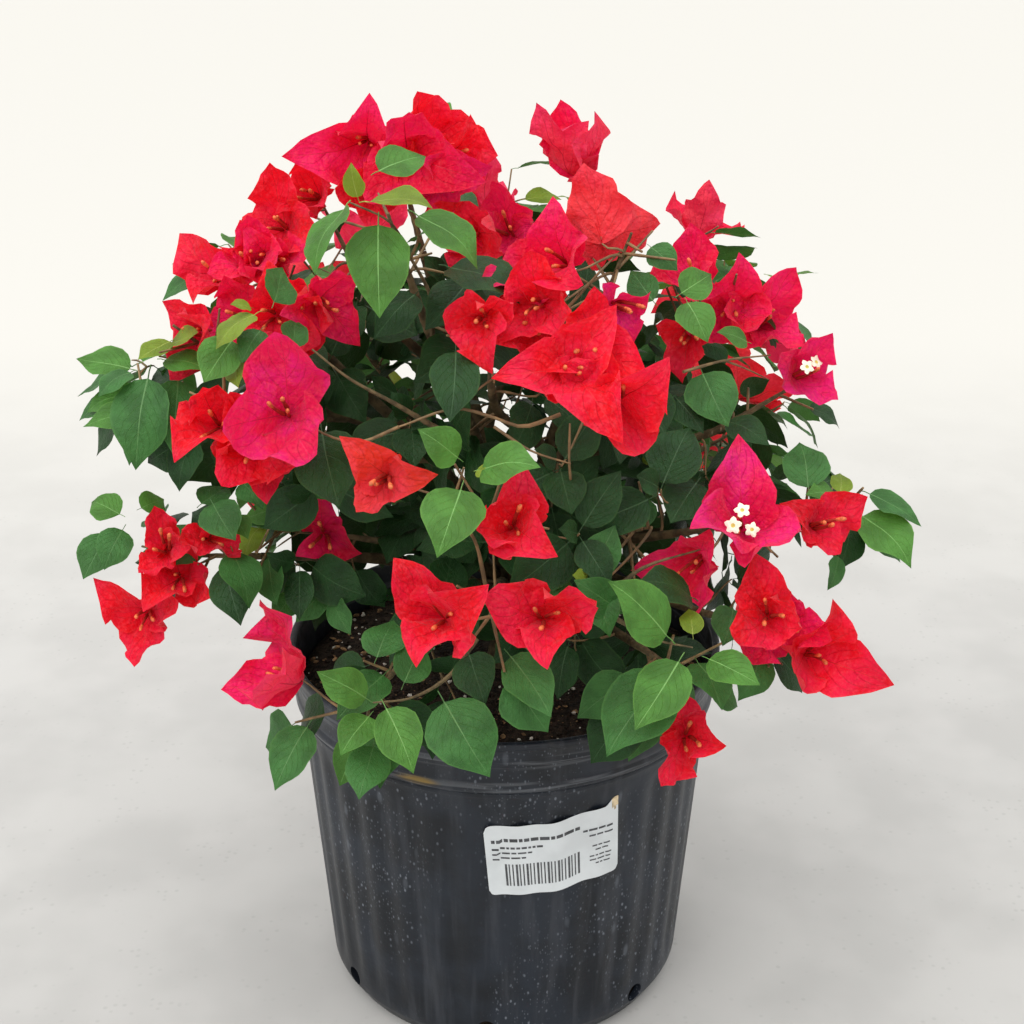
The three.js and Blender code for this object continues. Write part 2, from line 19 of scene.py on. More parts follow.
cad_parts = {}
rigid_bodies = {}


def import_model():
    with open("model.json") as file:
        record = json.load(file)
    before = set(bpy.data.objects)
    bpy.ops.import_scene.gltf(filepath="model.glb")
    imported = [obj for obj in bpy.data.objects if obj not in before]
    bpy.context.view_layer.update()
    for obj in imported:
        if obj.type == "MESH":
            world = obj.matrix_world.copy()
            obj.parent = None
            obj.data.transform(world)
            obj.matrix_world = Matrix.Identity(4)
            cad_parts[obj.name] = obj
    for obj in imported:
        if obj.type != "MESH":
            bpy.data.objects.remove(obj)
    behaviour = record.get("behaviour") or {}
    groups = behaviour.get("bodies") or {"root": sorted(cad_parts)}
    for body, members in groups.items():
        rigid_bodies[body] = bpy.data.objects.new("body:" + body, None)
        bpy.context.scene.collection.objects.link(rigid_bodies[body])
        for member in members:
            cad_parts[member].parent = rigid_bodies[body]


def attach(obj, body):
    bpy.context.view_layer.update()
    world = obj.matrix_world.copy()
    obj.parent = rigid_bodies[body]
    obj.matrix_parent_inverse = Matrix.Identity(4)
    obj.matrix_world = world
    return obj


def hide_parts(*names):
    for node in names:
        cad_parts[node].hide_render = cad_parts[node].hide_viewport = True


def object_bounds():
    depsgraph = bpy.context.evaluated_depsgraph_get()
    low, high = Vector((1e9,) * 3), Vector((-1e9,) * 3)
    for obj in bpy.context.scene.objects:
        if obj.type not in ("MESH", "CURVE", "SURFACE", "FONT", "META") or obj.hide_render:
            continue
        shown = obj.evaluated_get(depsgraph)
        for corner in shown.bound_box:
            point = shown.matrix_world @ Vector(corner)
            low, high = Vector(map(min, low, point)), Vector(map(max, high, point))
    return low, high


bl_info = {
    "name": "Bougainvillea bush",
    "version": (1, 0, 0),
    "blender": (4, 5, 0),
    "location": "View3D > Sidebar > Bush",
    "description": "Builds a potted bougainvillea bush round its packed frame",
    "category": "Add Mesh",
}

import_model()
FRAME_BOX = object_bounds()
MM = 0.001
BODY = "root"

# Sizes of the rule that the solids were grown by, in millimetres and degrees, or as shares
TRUNK = {"height": 66, "flare": 14, "foot": 10, "tip": 6.5}
TRUNK_LEAN = (6, 4)
BOUGH = {"main": 5, "side": 3.6, "tip": 2.3}
BEND = {"outward": 1.1, "spring": 0.36}
STEM = {"base": 2.2, "tip": 1.5, "entry": 0.8, "end": 0.35}
TWIG = {"base": 1, "tip": 0.8, "nodes": (0.45, 0.72, 0.97), "first": 0.25}
TWIG |= {"forward": (0.35, 0.85), "length": (0.35, 0.75)}
LEAF = {"length": 44, "scale": (0.78, 1.18), "sizes": (1, 0.8)}
LEAF |= {"width": 0.76, "thickness": 1.3, "lift": 0.1, "widest": 0.45}
LEAF |= {"along": 0.75, "aside": (0.75, 1.05), "droop": (0.25, 1), "outward": 0.3, "face_outward": 0.9}
BRACT = {"length": 39, "scale": (0.9, 1.15), "opening": (46, 62), "heart": 4}
BRACT |= {"width": 0.92, "thickness": 0.8, "lift": 0.14, "widest": 0.52}
BLOOM = {"forward": 0.28, "fan": 70, "born_at": (0.45, 0.95)}
# Shares of its spread and of its size that a bloom tries, until it fits
BLOOM_TRIALS = [(1, 1), (0.85, 1), (1, 0.86), (0.7, 1), (0.8, 0.86), (0.55, 0.86), (0.8, 0.72)]
BLOOM_TRIALS += [(0.4, 0.72)]
GOLDEN_ANGLE = 137.508
LIGHT_LEAN = {"lean": 0.6, "edge": 70, "fade": 60}
CROWN_FORK = np.array([0, 0, 275.0])
CROWN_HEART = np.array([0, 0, 330.0])
GAP = {"space": 0.35, "limb": 0.9, "pot": 3, "soil": 4}
CLEAR = 0.3
POT = {"height": 240, "rim": 140, "inner_top": 135, "inner_foot": 113, "floor": 4}
SOIL_CROWN = 222
TRUNK_FOOT = SOIL_CROWN + CLEAR

# A row for each mass: the limb that its bough forks from and at what share of its length, its
# bearing, rise, reach and size, its blooms with their spread and turn, its leaves, the tries it gets
# at a finer twig, and the hues of its blooms: s is scarlet, c crimson, m magenta and o orange.
MASSES = [
    ("crest_left", "trunk", 0.98, 142, 73, 264, 56, 4, 30, 45, 3, 3, "ccsc"),
    ("crest_right", "crest_left", 0.4, 14, 79, 262, 50, 2, 14, 0, 1, 4, "cs"),
    ("crest_back", "crest_left", 0.62, 84, 70, 226, 54, 3, 26, 0, 7, 24, "csc"),
    ("leader_left", "trunk", 0.9, 232, 69, 264, 48, 0, 0, 0, 10, 16, ""),
    ("shoulder_high", "crest_left", 0.5, 160, 64, 250, 54, 3, 24, 0, 2, 4, "scs"),
    ("shoulder_left", "trunk", 0.8, 174, 53, 254, 50, 4, 26, 0, 4, 10, "sscs"),
    ("flank_left", "shoulder_left", 0.5, 192, 44, 254, 48, 1, 8, 90, 10, 12, "c"),
    ("far_left", "flank_left", 0.45, 186, 33, 250, 40, 0, 0, 0, 10, 3, ""),
    ("front_left", "leader_left", 0.35, 215, 41, 236, 50, 3, 28, 320, 9, 12, "mcs"),
    ("low_left", "trunk", 0.5, 195, 13, 202, 54, 4, 30, 0, 11, 3, "sscs"),
    ("upper_right", "trunk", 0.94, 318, 69, 246, 54, 3, 26, 90, 9, 12, "ssc"),
    ("middle_front", "upper_right", 0.45, 266, 60, 222, 42, 1, 12, 0, 9, 26, "s"),
    ("heart_front", "trunk", 0.84, 293, 53, 230, 56, 4, 30, 25, 9, 18, "sscs"),
    ("upper_flank_right", "trunk", 0.88, 354, 56, 230, 56, 4, 32, 20, 11, 12, "csss"),
    ("far_right", "upper_flank_right", 0.5, 350, 40, 217, 42, 1, 6, 0, 3, 3, "m"),
    ("low_right", "trunk", 0.6, 319, 28, 200, 54, 3, 26, 60, 9, 8, "msc"),
    ("tip_right", "low_right", 0.4, 344, 22, 224, 40, 0, 0, 0, 9, 2, ""),
    ("under_right", "low_right", 0.3, 317, 11, 200, 48, 3, 26, 0, 8, 5, "sos"),
    ("rim_right", "trunk", 0.3, 299, 9, 192, 48, 1, 28, 180, 10, 5, "c"),
    ("front_middle", "trunk", 0.66, 267, 36, 208, 54, 2, 36, 66, 10, 14, "os"),
    ("front_low", "trunk", 0.4, 268, 22, 202, 50, 2, 28, 90, 9, 7, "sc"),
    ("rim_left", "trunk", 0.2, 246, 4, 182, 54, 1, 40, 55, 11, 1, "c"),
    ("back_right", "upper_flank_right", 0.35, 40, 40, 236, 66, 4, 40, 70, 10, 42, "scsc"),
    ("back_left", "shoulder_left", 0.35, 130, 40, 232, 66, 4, 40, 50, 14, 60, "csms"),
    ("low_back_right", "trunk", 0.46, 42, 13, 212, 62, 3, 38, 0, 14, 55, "scs"),
    ("low_back_left", "trunk", 0.54, 128, 12, 210, 62, 3, 38, 0, 14, 55, "ssc"),
    ("inner_left", "trunk", 0.72, 198, 24, 138, 62, 1, 14, 200, 14, 55, "c"),
    ("inner_right", "trunk", 0.78, 308, 34, 140, 64, 0, 0, 0, 16, 80, ""),
]
COLUMNS = "name from_limb fork bearing rise reach size blooms spread turn leaves finer hues".split()

# Shoots that stand out of a mass, each with a ring of leaves round its tip: the mass, the place of
# the tip, the bearing and rise that it points, its leaves, the length of the largest, their tone.
LEAFY_SPRAYS = [
    ("inner_right", (45, -175, 360), 280, 35, 4, 42, "mid"),
    ("leader_left", (-15, -70, 505), 305, 60, 5, 46, "deep"),
    ("inner_left", (-155, -60, 375), 280, 45, 3, 38, "mid"),
    ("heart_front", (30, -140, 415), 270, 40, 4, 46, "deep"),
    ("front_middle", (40, -165, 385), 280, 30, 4, 46, "deep"),
    ("low_right", (85, -140, 400), 275, 40, 4, 46, "deep"),
    ("upper_flank_right", (80, -80, 440), 270, 40, 4, 44, "deep"),
]

# The blooms in front. A row for each: its mass, the place of its heart, the bearing and rise that
# it faces, how far it is turned, its hue and the length of its bracts.
BLOSSOM = [
    ("crest_left", (-80, 30, 555), 262, 5, -15, "c", 43),
    ("crest_left", (-55, 5, 550), 275, 10, 15, "c", 43),
    ("crest_left", (-45, 30, 555), 285, 15, 20, "s", 39),
    ("crest_left", (-40, 10, 540), 295, -5, 170, "m", 32),
    ("shoulder_high", (-110, 30, 520), 250, 20, 10, "s", 33),
    ("shoulder_high", (-130, 15, 505), 255, 30, 20, "s", 38),
    ("shoulder_left", (-165, 5, 475), 245, 30, 62, "s", 37),
    ("shoulder_left", (-145, -5, 490), 260, 25, 10, "c", 36),
    ("shoulder_left", (-170, -30, 455), 235, 15, 60, "s", 36),
    ("shoulder_high", (-105, -50, 480), 285, 5, -30, "c", 34),
    ("shoulder_left", (-130, -50, 470), 265, 15, 10, "s", 36),
    ("shoulder_left", (-115, -45, 475), 270, 5, 170, "s", 33),
    ("crest_right", (45, 10, 535), 255, 72, 20, "c", 46),
    ("crest_back", (5, 20, 500), 255, 30, 0, "c", 36),
    ("crest_back", (-15, 5, 505), 245, 5, 50, "s", 33),
    ("upper_right", (35, -90, 510), 245, 25, 10, "c", 45),
    ("upper_right", (55, -60, 515), 80, 25, -10, "s", 45),
    ("upper_right", (60, -90, 490), 295, 5, 190, "m", 26),
    ("upper_right", (20, -110, 495), 255, 20, 10, "s", 36),
    ("middle_front", (-10, -120, 490), 265, 15, -40, "s", 31),
    ("heart_front", (35, -150, 470), 270, 20, -30, "s", 41),
    ("heart_front", (60, -150, 455), 270, 25, -60, "s", 41),
    ("upper_flank_right", (115, -10, 475), 250, 35, 10, "c", 38),
    ("upper_flank_right", (150, -15, 455), 285, 30, -30, "c", 40),
    ("upper_flank_right", (110, -30, 455), 255, 0, 60, "s", 31),
    ("far_right", (170, -40, 430), 305, 30, -40, "m", 34),
    ("low_right", (130, -140, 375), 262, 35, -5, "m", 48),
    ("low_right", (175, -100, 360), 300, 30, -60, "s", 31),
    ("low_right", (110, -130, 355), 240, 0, 100, "c", 36),
    ("under_right", (145, -155, 330), 260, 35, 30, "s", 36),
    ("under_right", (170, -140, 300), 285, 25, -5, "s", 43),
    ("rim_right", (100, -180, 270), 270, 30, 20, "s", 33),
    ("front_middle", (5, -190, 400), 270, 30, -5, "s", 34),
    ("front_middle", (-60, -170, 420), 260, 15, 30, "o", 29),
    ("front_low", (-30, -205, 355), 260, 35, 50, "s", 41),
    ("front_low", (20, -205, 355), 275, 30, -50, "s", 40),
    ("rim_left", (-110, -170, 300), 215, 25, 10, "c", 46),
    ("front_left", (-115, -130, 440), 260, 30, -10, "m", 48),
    ("front_left", (-155, -110, 425), 265, 25, 20, "s", 40),
    ("front_left", (-135, -105, 405), 285, 0, 60, "s", 29),
    ("low_left", (-200, -65, 330), 270, 35, 30, "s", 29),
    ("low_left", (-175, -70, 340), 295, 30, -30, "s", 26),
    ("low_left", (-215, -65, 290), 265, 10, 50, "s", 33),
    ("inner_left", (-110, -40, 330), 275, 15, 0, "c", 29),
    ("crest_left", (-35, 20, 545), 300, 15, -30, "s", 34),
    ("crest_left", (-75, 15, 530), 265, 10, 60, "s", 34),
    ("shoulder_high", (-135, 0, 490), 265, 20, 35, "c", 36),
    ("shoulder_left", (-150, -20, 460), 255, 5, 10, "c", 36),
    ("upper_right", (15, -100, 480), 265, 10, -20, "s", 36),
    ("heart_front", (45, -140, 480), 270, 25, 0, "s", 36),
    ("upper_flank_right", (135, -15, 465), 265, 20, 0, "c", 38),
    ("front_left", (-135, -115, 420), 270, 10, 30, "s", 36),
    ("low_left", (-195, -60, 310), 275, 20, 10, "s", 33),
    ("under_right", (155, -140, 320), 265, 10, 15, "c", 34),
]

# The leaves in front, by the spray that they belong to: each from its root to its tip, with the
# bearing and rise that its upper face looks, and its tone.
FRONT_LEAVES = {
    "leader_left": [
        ((-65, -110, 545), (-65, -150, 505), 275, 30, "light"),
        ((-50, -105, 545), (-10, -125, 525), 310, 65, "light"),
        ((-75, -110, 550), (-35, -130, 555), 310, 80, "young"),
        ((-70, -90, 560), (-40, -65, 570), 275, 55, "light"),
        ((-80, -105, 550), (-100, -140, 525), 205, 35, "light"),
        ((-75, -110, 550), (-80, -115, 570), 255, 15, "young"),
        ((-35, -85, 510), (10, -115, 505), 275, 75, "deep"),
        ((-45, -80, 495), (-70, -110, 480), 275, 60, "deep"),
    ],
    "flank_left": [
        ((-125, -100, 490), (-120, -70, 505), 300, 15, "mid"),
        ((-130, -105, 490), (-155, -125, 480), 225, 65, "young"),
        ((-135, -100, 490), (-145, -110, 495), 255, 45, "young"),
        ((-145, -100, 475), (-160, -130, 460), 270, 30, "light"),
        ((-130, -100, 480), (-140, -125, 470), 260, 25, "mid"),
        ((-145, -100, 465), (-145, -125, 455), 235, 15, "young"),
        ((-115, -100, 465), (-115, -75, 480), 300, 25, "mid"),
    ],
    "far_left": [
        ((-205, -45, 440), (-215, -80, 390), 260, 45, "mid"),
        ((-190, -40, 435), (-190, -75, 400), 295, 35, "mid"),
        ((-190, -45, 455), (-205, -70, 455), 255, 60, "young"),
        ((-195, -45, 450), (-175, -60, 465), 290, 60, "young"),
        ((-215, -40, 435), (-235, -60, 430), 240, 55, "mid"),
        ((-200, -50, 445), (-165, -65, 445), 295, 70, "light"),
    ],
    "low_left": [
        ((-225, -60, 350), (-250, -45, 355), 275, 55, "light"),
        ((-225, -60, 345), (-235, -85, 330), 285, 35, "mid"),
        ((-235, -55, 340), (-250, -80, 320), 260, 45, "mid"),
        ((-220, -50, 350), (-205, -30, 350), 285, 45, "light"),
    ],
    "inner_left": [
        ((-170, -80, 370), (-155, -110, 360), 280, 30, "mid"),
        ((-160, -80, 360), (-145, -100, 355), 300, 30, "light"),
        ((-180, -70, 360), (-165, -40, 365), 285, 55, "mid"),
        ((-160, -80, 340), (-145, -115, 320), 300, 35, "mid"),
        ((-165, -75, 330), (-155, -110, 305), 255, 35, "deep"),
    ],
    "front_middle": [
        ((-20, -200, 440), (-40, -210, 460), 270, 40, "light"),
        ((-15, -200, 435), (15, -220, 450), 285, 50, "light"),
        ((-20, -200, 430), (-30, -240, 410), 265, 30, "light"),
        ((-15, -200, 435), (-5, -210, 440), 295, 40, "young"),
    ],
    "rim_left": [
        ((-70, -195, 300), (-95, -205, 325), 260, 50, "light"),
        ((-55, -190, 305), (-45, -160, 320), 285, 40, "mid"),
        ((-65, -200, 305), (-45, -230, 280), 280, 35, "light"),
        ((-70, -195, 295), (-85, -220, 285), 250, 40, "light"),
        ((-70, -190, 275), (-75, -225, 260), 275, 30, "mid"),
        ((-35, -200, 310), (-10, -235, 280), 280, 35, "mid"),
        ((-70, -180, 315), (-60, -150, 330), 250, 25, "mid"),
    ],
    "front_low": [
        ((0, -200, 335), (25, -235, 320), 280, 35, "mid"),
        ((-20, -180, 325), (-10, -210, 310), 260, 30, "deep"),
    ],
    "rim_right": [
        ((90, -195, 335), (55, -205, 375), 260, 55, "light"),
        ((95, -195, 330), (70, -235, 310), 255, 35, "light"),
        ((100, -190, 335), (100, -170, 345), 275, 35, "young"),
        ((105, -190, 325), (130, -215, 325), 280, 45, "light"),
        ((90, -185, 320), (55, -225, 285), 250, 30, "mid"),
        ((65, -180, 345), (40, -195, 370), 250, 45, "mid"),
        ((105, -165, 345), (75, -180, 370), 260, 65, "deep"),
    ],
    "tip_right": [
        ((175, -90, 375), (175, -60, 400), 260, 35, "mid"),
        ((195, -80, 370), (175, -95, 380), 240, 50, "light"),
        ((195, -80, 370), (200, -60, 380), 270, 35, "young"),
        ((205, -75, 360), (235, -110, 345), 285, 55, "light"),
        ((195, -90, 340), (190, -110, 325), 305, 20, "mid"),
    ],
    "upper_flank_right": [
        ((110, -80, 450), (120, -115, 430), 265, 30, "mid"),
        ((95, -85, 435), (110, -110, 425), 250, 40, "deep"),
        ((125, -70, 415), (150, -90, 410), 245, 80, "deep"),
        ((80, -60, 515), (95, -75, 505), 265, 45, "mid"),
        ((85, -80, 485), (70, -60, 500), 265, 25, "mid"),
        ((95, -80, 490), (120, -60, 500), 275, 35, "light"),
        ((100, -80, 490), (110, -105, 475), 285, 25, "light"),
        ((140, -70, 460), (120, -80, 470), 260, 50, "light"),
    ],
    "middle_front": [
        ((-25, -130, 480), (-25, -170, 455), 270, 40, "deep"),
        ((-100, -115, 430), (-90, -160, 400), 265, 20, "deep"),
    ],
    "low_right": [((110, -110, 395), (90, -145, 385), 260, 30, "deep")],
}

# The twigs in front: each its thickness at the foot, then the places that it passes through.
FRONT_TWIGS = [
    (1.4, (-40, -70, 465), (-40, -80, 490), (-50, -90, 515), (-60, -110, 540), (-80, -110, 550)),
    (0.9, (-50, -90, 515), (-45, -100, 530), (-50, -105, 545)),
    (1.2, (-10, -165, 355), (-15, -175, 385), (-25, -185, 410), (-20, -195, 435)),
    (1.5, (-15, -160, 320), (-30, -175, 305), (-50, -190, 300), (-70, -195, 300)),
    (1.2, (30, -145, 445), (10, -150, 440), (-5, -150, 445), (-25, -150, 450), (-55, -150, 440)),
    (1.0, (-55, -150, 440), (-75, -145, 430), (-90, -140, 430), (-115, -130, 440)),
    (0.9, (-25, -150, 450), (-10, -140, 460), (10, -120, 465)),
    (0.9, (-5, -150, 440), (15, -160, 430), (35, -165, 425)),
    (1.1, (40, -140, 390), (35, -150, 415), (35, -145, 440)),
    (1.0, (100, -90, 450), (125, -70, 450), (155, -45, 445)),
    (0.7, (125, -70, 450), (140, -55, 440), (155, -45, 430)),
    (1.3, (60, -160, 350), (75, -155, 360), (110, -140, 365)),
    (1.7, (-35, -90, 415), (-60, -100, 435), (-85, -100, 450), (-105, -95, 465)),
    (0.9, (-130, -80, 365), (-135, -80, 355), (-145, -80, 335)),
    (1.3, (60, -165, 335), (80, -180, 330), (100, -190, 330)),
    (1.1, (-160, -50, 435), (-180, -45, 440), (-200, -45, 445)),
    (1.0, (155, -100, 360), (180, -85, 360), (200, -75, 365)),
    (1.0, (35, -85, 485), (45, -80, 495), (55, -75, 505), (65, -60, 510)),
]

# How many flowers stand open in the magenta blooms of a mass
OPEN_FLOWERS = {"low_right": 3, "far_right": 2}

# The twig of a spray: the shares of a bough or a stem that it may leave from, and its thickness
SPRAY_ROOTS = [0.3 + 0.05 * k for k in range(15)]
SPRAY_TWIG = {"base": 0.9, "tip": 0.6}

# The rule's own blooms are kept behind a line that runs back to the right, and its leaves under a
# height. Masses past BACK get the more shoots, and no shoot reaches past the solids at the back.
BEHIND, BEHIND_SLANT = 90, 0.22
CREST = 552
BACK = 60
BACK_LIMIT = FRAME_BOX[1][1] / MM - 4
SHOOTS = {"back": 7, "front": 3, "first": 0.3, "last": 0.86, "length": 42, "leaves": 5, "leaf": 46}

# The leaves of a spray, from its tip inwards: the share of full length that each one has
SPRAY_LEAVES = (0.5, 0.78, 0.95, 1, 1, 1)

# How far the bracts of a front bloom open, in degrees: a bloom that faces up stays narrower
OPENINGS = {"up": (22, 36), "out": (38, 62)}
FACES_UP = 60

# The blooms that stand beside those at the back
BESIDE = {"tries": 5, "gap": (28, 38), "lean": (0.2, 0.6), "length": (30, 38)}

# Finer twigs and their leaves, which carry the rule on
FINE_TWIG = {"along": (0.2, 1), "forward": (0.3, 1), "outward": 0.25, "length": (14, 34)}
FINE_TWIG |= {"sag": (-3, 4), "base": 0.75, "tip": 0.55, "nodes": (0.35, 0.68, 1), "gap": 0.5}
FINE_LEAF = {"turn": (-38, 38), "scale": (0.6, 1.04), "limb_gap": 0.8, "reach": 1.25, "slack": 14}

# What counts as hiding: how near and how far a leaf is before a place, and how close to the line
# of sight, for a leaf of the rule, for a finer leaf, and for the front of a bloom
HIDING = {"coarse": (3, 200, 24), "fine": (3, 200, 20), "bloom": (1, 70, 30)}

# The photograph's camera: its place in millimetres, its tilt in degrees and its turn in radians
VIEWER = np.array([0, -990.0, 753.0])
TILT, TURN = 23.3, -9 / 1704

# Where each stream of chance starts. Those of a mass, bloom or spray are multiplied by its number.
SEEDS = {"mass": 7919, "bloom": 7013, "spray": 4441, "beside": 50021, "finer": 104729}
SEEDS |= {"mix": 4021, "rules": 515, "tones": 60013, "leaf": 31, "bract": 211, "lump": 71}
SEEDS |= {"slip": 81, "tube": 401, "star": 451}

# The hues of the blooms by their letters, the tones of the leaves, and two directions
HUES = {"s": "scarlet", "c": "crimson", "m": "magenta", "o": "orange"}
TONES = ("deep", "mid", "light", "young")
UP = np.array([0.0, 0.0, 1.0])
FRONT = np.array([0.0, -1.0, 0.0])


def colour_setting(name, description, value):
    return FloatVectorProperty(name=name, description=description, default=value, subtype="COLOR")


def length_setting(name, description, value):
    return FloatProperty(name=name, description=description, default=value, unit="LENGTH")


def count_setting(name, description, value, least=0):
    return IntProperty(name=name, description=description, default=value, min=least)


def strength_setting(name, description, value, unit="NONE"):
    return FloatProperty(name=name, description=description, default=value, min=0, unit=unit)


class PotSettings(bpy.types.PropertyGroup):
    """Sizes and colours of the pot, its potting mix and its label."""

    flutes: count_setting("Flutes", "Ribs round the wall", 36, 8)
    flute_depth: length_setting("Flute depth", "How far the grooves go in", 0.0019)
    wall_colour: colour_setting("Wall", "Colour of the moulded wall", (0.0078, 0.0108, 0.0165))
    mix_colour: colour_setting("Potting mix", "Colour of the moist mix", (0.022, 0.015, 0.010))
    crumbs: count_setting("Crumbs", "Crumbs that lie on the mix", 900)
    chips: count_setting("Chips", "Chips of bark on the mix", 220)
    grains: count_setting("Grains", "White grains on the mix", 300)
    label_colour: colour_setting("Label", "Colour of the label", (0.66, 0.70, 0.72))


class CrownSettings(bpy.types.PropertyGroup):
    """Sizes and colours of the wood, the twigs and the leaves."""

    bark_colour: colour_setting("Bark", "Colour of the bark", (0.095, 0.072, 0.034))
    shoot_colour: colour_setting("Shoots", "Colour of young twigs", (0.19, 0.125, 0.055))
    fullness: strength_setting("Fullness", "Share of the finer twigs that are grown", 1.0)
    finer_leaf: length_setting("Finer leaves", "Length of a fine leaf", 0.044)
    spacing: length_setting("Spacing", "Least distance between the middles of leaves", 0.013)
    # The deep and light tones stand partly for age and partly for painted shade inside the crown and
    # painted light on leaves that face up.
    deep_colour: colour_setting("Deep", "Old leaves", (0.012, 0.048, 0.011))
    mid_colour: colour_setting("Mid", "Most leaves", (0.042, 0.140, 0.034))
    light_colour: colour_setting("Light", "Fresh leaves", (0.070, 0.200, 0.036))
    young_colour: colour_setting("Young", "Leaves at the tips", (0.17, 0.26, 0.03))


class BlossomSettings(bpy.types.PropertyGroup):
    """Sizes and colours of the bracts and the flowers."""

    tube_length: length_setting("Flower tube", "Length of a flower tube", 0.022)
    scarlet: colour_setting("Scarlet", "Scarlet bracts", (0.88, 0.005, 0.016))
    crimson: colour_setting("Crimson", "Crimson bracts", (0.86, 0.005, 0.050))
    magenta: colour_setting("Magenta", "Magenta bracts", (0.84, 0.008, 0.085))
    orange: colour_setting("Orange", "Orange bracts", (0.82, 0.035, 0.018))
    tube_colour: colour_setting("Tubes", "Colour of the tubes", (0.36, 0.030, 0.018))
    tip_colour: colour_setting("Tips", "Colour of the buds", (0.66, 0.15, 0.05))


class StageSettings(bpy.types.PropertyGroup):
    """The floor, the light and the camera."""

    floor_colour: colour_setting("Floor", "Colour of the floor", (0.435, 0.432, 0.42))
    far_colour: colour_setting("Far floor", "Colour of the floor behind", (0.57, 0.562, 0.53))
    sky_strength: strength_setting("Sky", "Strength of the light all round", 0.82)
    sun_strength: strength_setting("Overhead light", "Strength of the light overhead", 2.75)
    key_power: strength_setting("Key", "Power of the lamp at the upper left", 12, "POWER")
    focal: strength_setting("Focal length", "Focal length of the lens", 59.9, "CAMERA")


def unit(v):
    return v / np.linalg.norm(v)


def clamp(value, low, high):
    return max(low, min(high, value))


def heading(bearing, rise):
    """A direction from its bearing and its rise, both in degrees."""
    turn, lift = math.radians(bearing), math.radians(rise)
    level = math.cos(lift)
    return np.array([level * math.cos(turn), level * math.sin(turn), math.sin(lift)])


def square(v, axis):
    """The part of v that is square to axis, at length one."""
    return unit(v - axis * v.dot(axis))


def around(axis, v, degrees):
    """A direction square to axis, turned about it from the way that v leans."""
    first = square(v, axis)
    angle = math.radians(degrees)
    return first * math.cos(angle) + np.cross(axis, first) * math.sin(angle)


def blend(*terms):
    """A sum of directions, each with its weight, at length one."""
    return unit(sum(way * weight for way, weight in terms))


def seeded(seed):
    """A stream of numbers from 0 to 1 that is the same on every run."""
    full = 0xFFFFFFFF
    state = seed & full

    def chance():
        nonlocal state
        state = (state + 0x6D2B79F5) & full
        t = ((state ^ (state >> 15)) * (state | 1)) & full
        t ^= (t + ((t ^ (t >> 7)) * (t | 61) & full)) & full
        return ((t ^ (t >> 14)) & full) / 4294967296

    return chance


def between(ends, chance):
    return ends[0] + (ends[1] - ends[0]) * chance()


def stands_before(place, sites, ways, near, far, aside):
    """Whether a place stands before any of the sites, as each is seen along its own way."""
    ahead = ((place - sites) * ways).sum(1)
    off = np.linalg.norm(place - sites - ways * ahead[:, None], axis=1)
    return ((ahead > near) & (ahead < far) & (off < aside)).any()


def bezier(*corners):
    """A curve of two, three or four corners, for a column of moments from 0 to 1."""
    degree = len(corners) - 1

    def curve(t):
        terms = [
            math.comb(degree, k) * t**k * (1 - t) ** (degree - k) * corner
            for k, corner in enumerate(corners)
        ]
        return sum(terms)

    return curve


def rounded(places):
    """A smooth curve through places."""
    chain = [2 * places[0] - places[1], *places, 2 * places[-1] - places[-2]]
    pieces = []
    for a, b, c, d in zip(chain, chain[1:], chain[2:], chain[3:]):
        first, gap, last = (math.sqrt(np.linalg.norm(q - p)) for p, q in ((a, b), (b, c), (c, d)))
        leave = ((b - a) / first - (c - a) / (first + gap) + (c - b) / gap) * gap
        arrive = ((c - b) / gap - (d - b) / (gap + last) + (d - c) / last) * gap
        pieces.append((b, leave, 3 * (c - b) - 2 * leave - arrive, 2 * (b - c) + leave + arrive))
    table = np.array(pieces)

    def curve(t):
        scaled = np.clip(t[:, 0] * len(table), 0, len(table))
        which = np.minimum(scaled.astype(int), len(table) - 1)
        s = (scaled - which)[:, None]
        k = table[which]
        return k[:, 0] + k[:, 1] * s + k[:, 2] * s**2 + k[:, 3] * s**3

    return curve


class Limb:
    """A tapering limb along a curve, walked by its own length."""

    STEPS = np.linspace(0, 1, 201)

    def __init__(self, curve, base, tip, flare=0.0):
        self.curve, self.base, self.tip, self.flare = curve, base, tip, flare
        steps = np.diff(curve(self.STEPS[:, None]), axis=0)
        self.walked = np.concatenate([[0.0], np.cumsum(np.linalg.norm(steps, axis=1))])
        self.length = self.walked[-1]

    def moments(self, shares):
        return np.interp(np.atleast_1d(shares) * self.length, self.walked, self.STEPS)[:, None]

    def places(self, shares):
        return self.curve(self.moments(shares))

    def place(self, share):
        return self.places(share)[0]

    def way(self, share):
        t = self.moments(share)
        ahead, behind = np.minimum(t + 1e-4, 1), np.maximum(t - 1e-4, 0)
        return unit((self.curve(ahead) - self.curve(behind))[0])

    def radius(self, share):
        thick = self.base + (self.tip - self.base) * share
        return thick + self.flare * np.maximum(0, 1 - share * 4) ** 2

    def samples(self):
        """Places along the limb with its radius there, close enough together to test against."""
        shares = np.linspace(0, 1, math.ceil(self.length / 3) + 1)
        return np.column_stack([self.places(shares), self.radius(shares)])


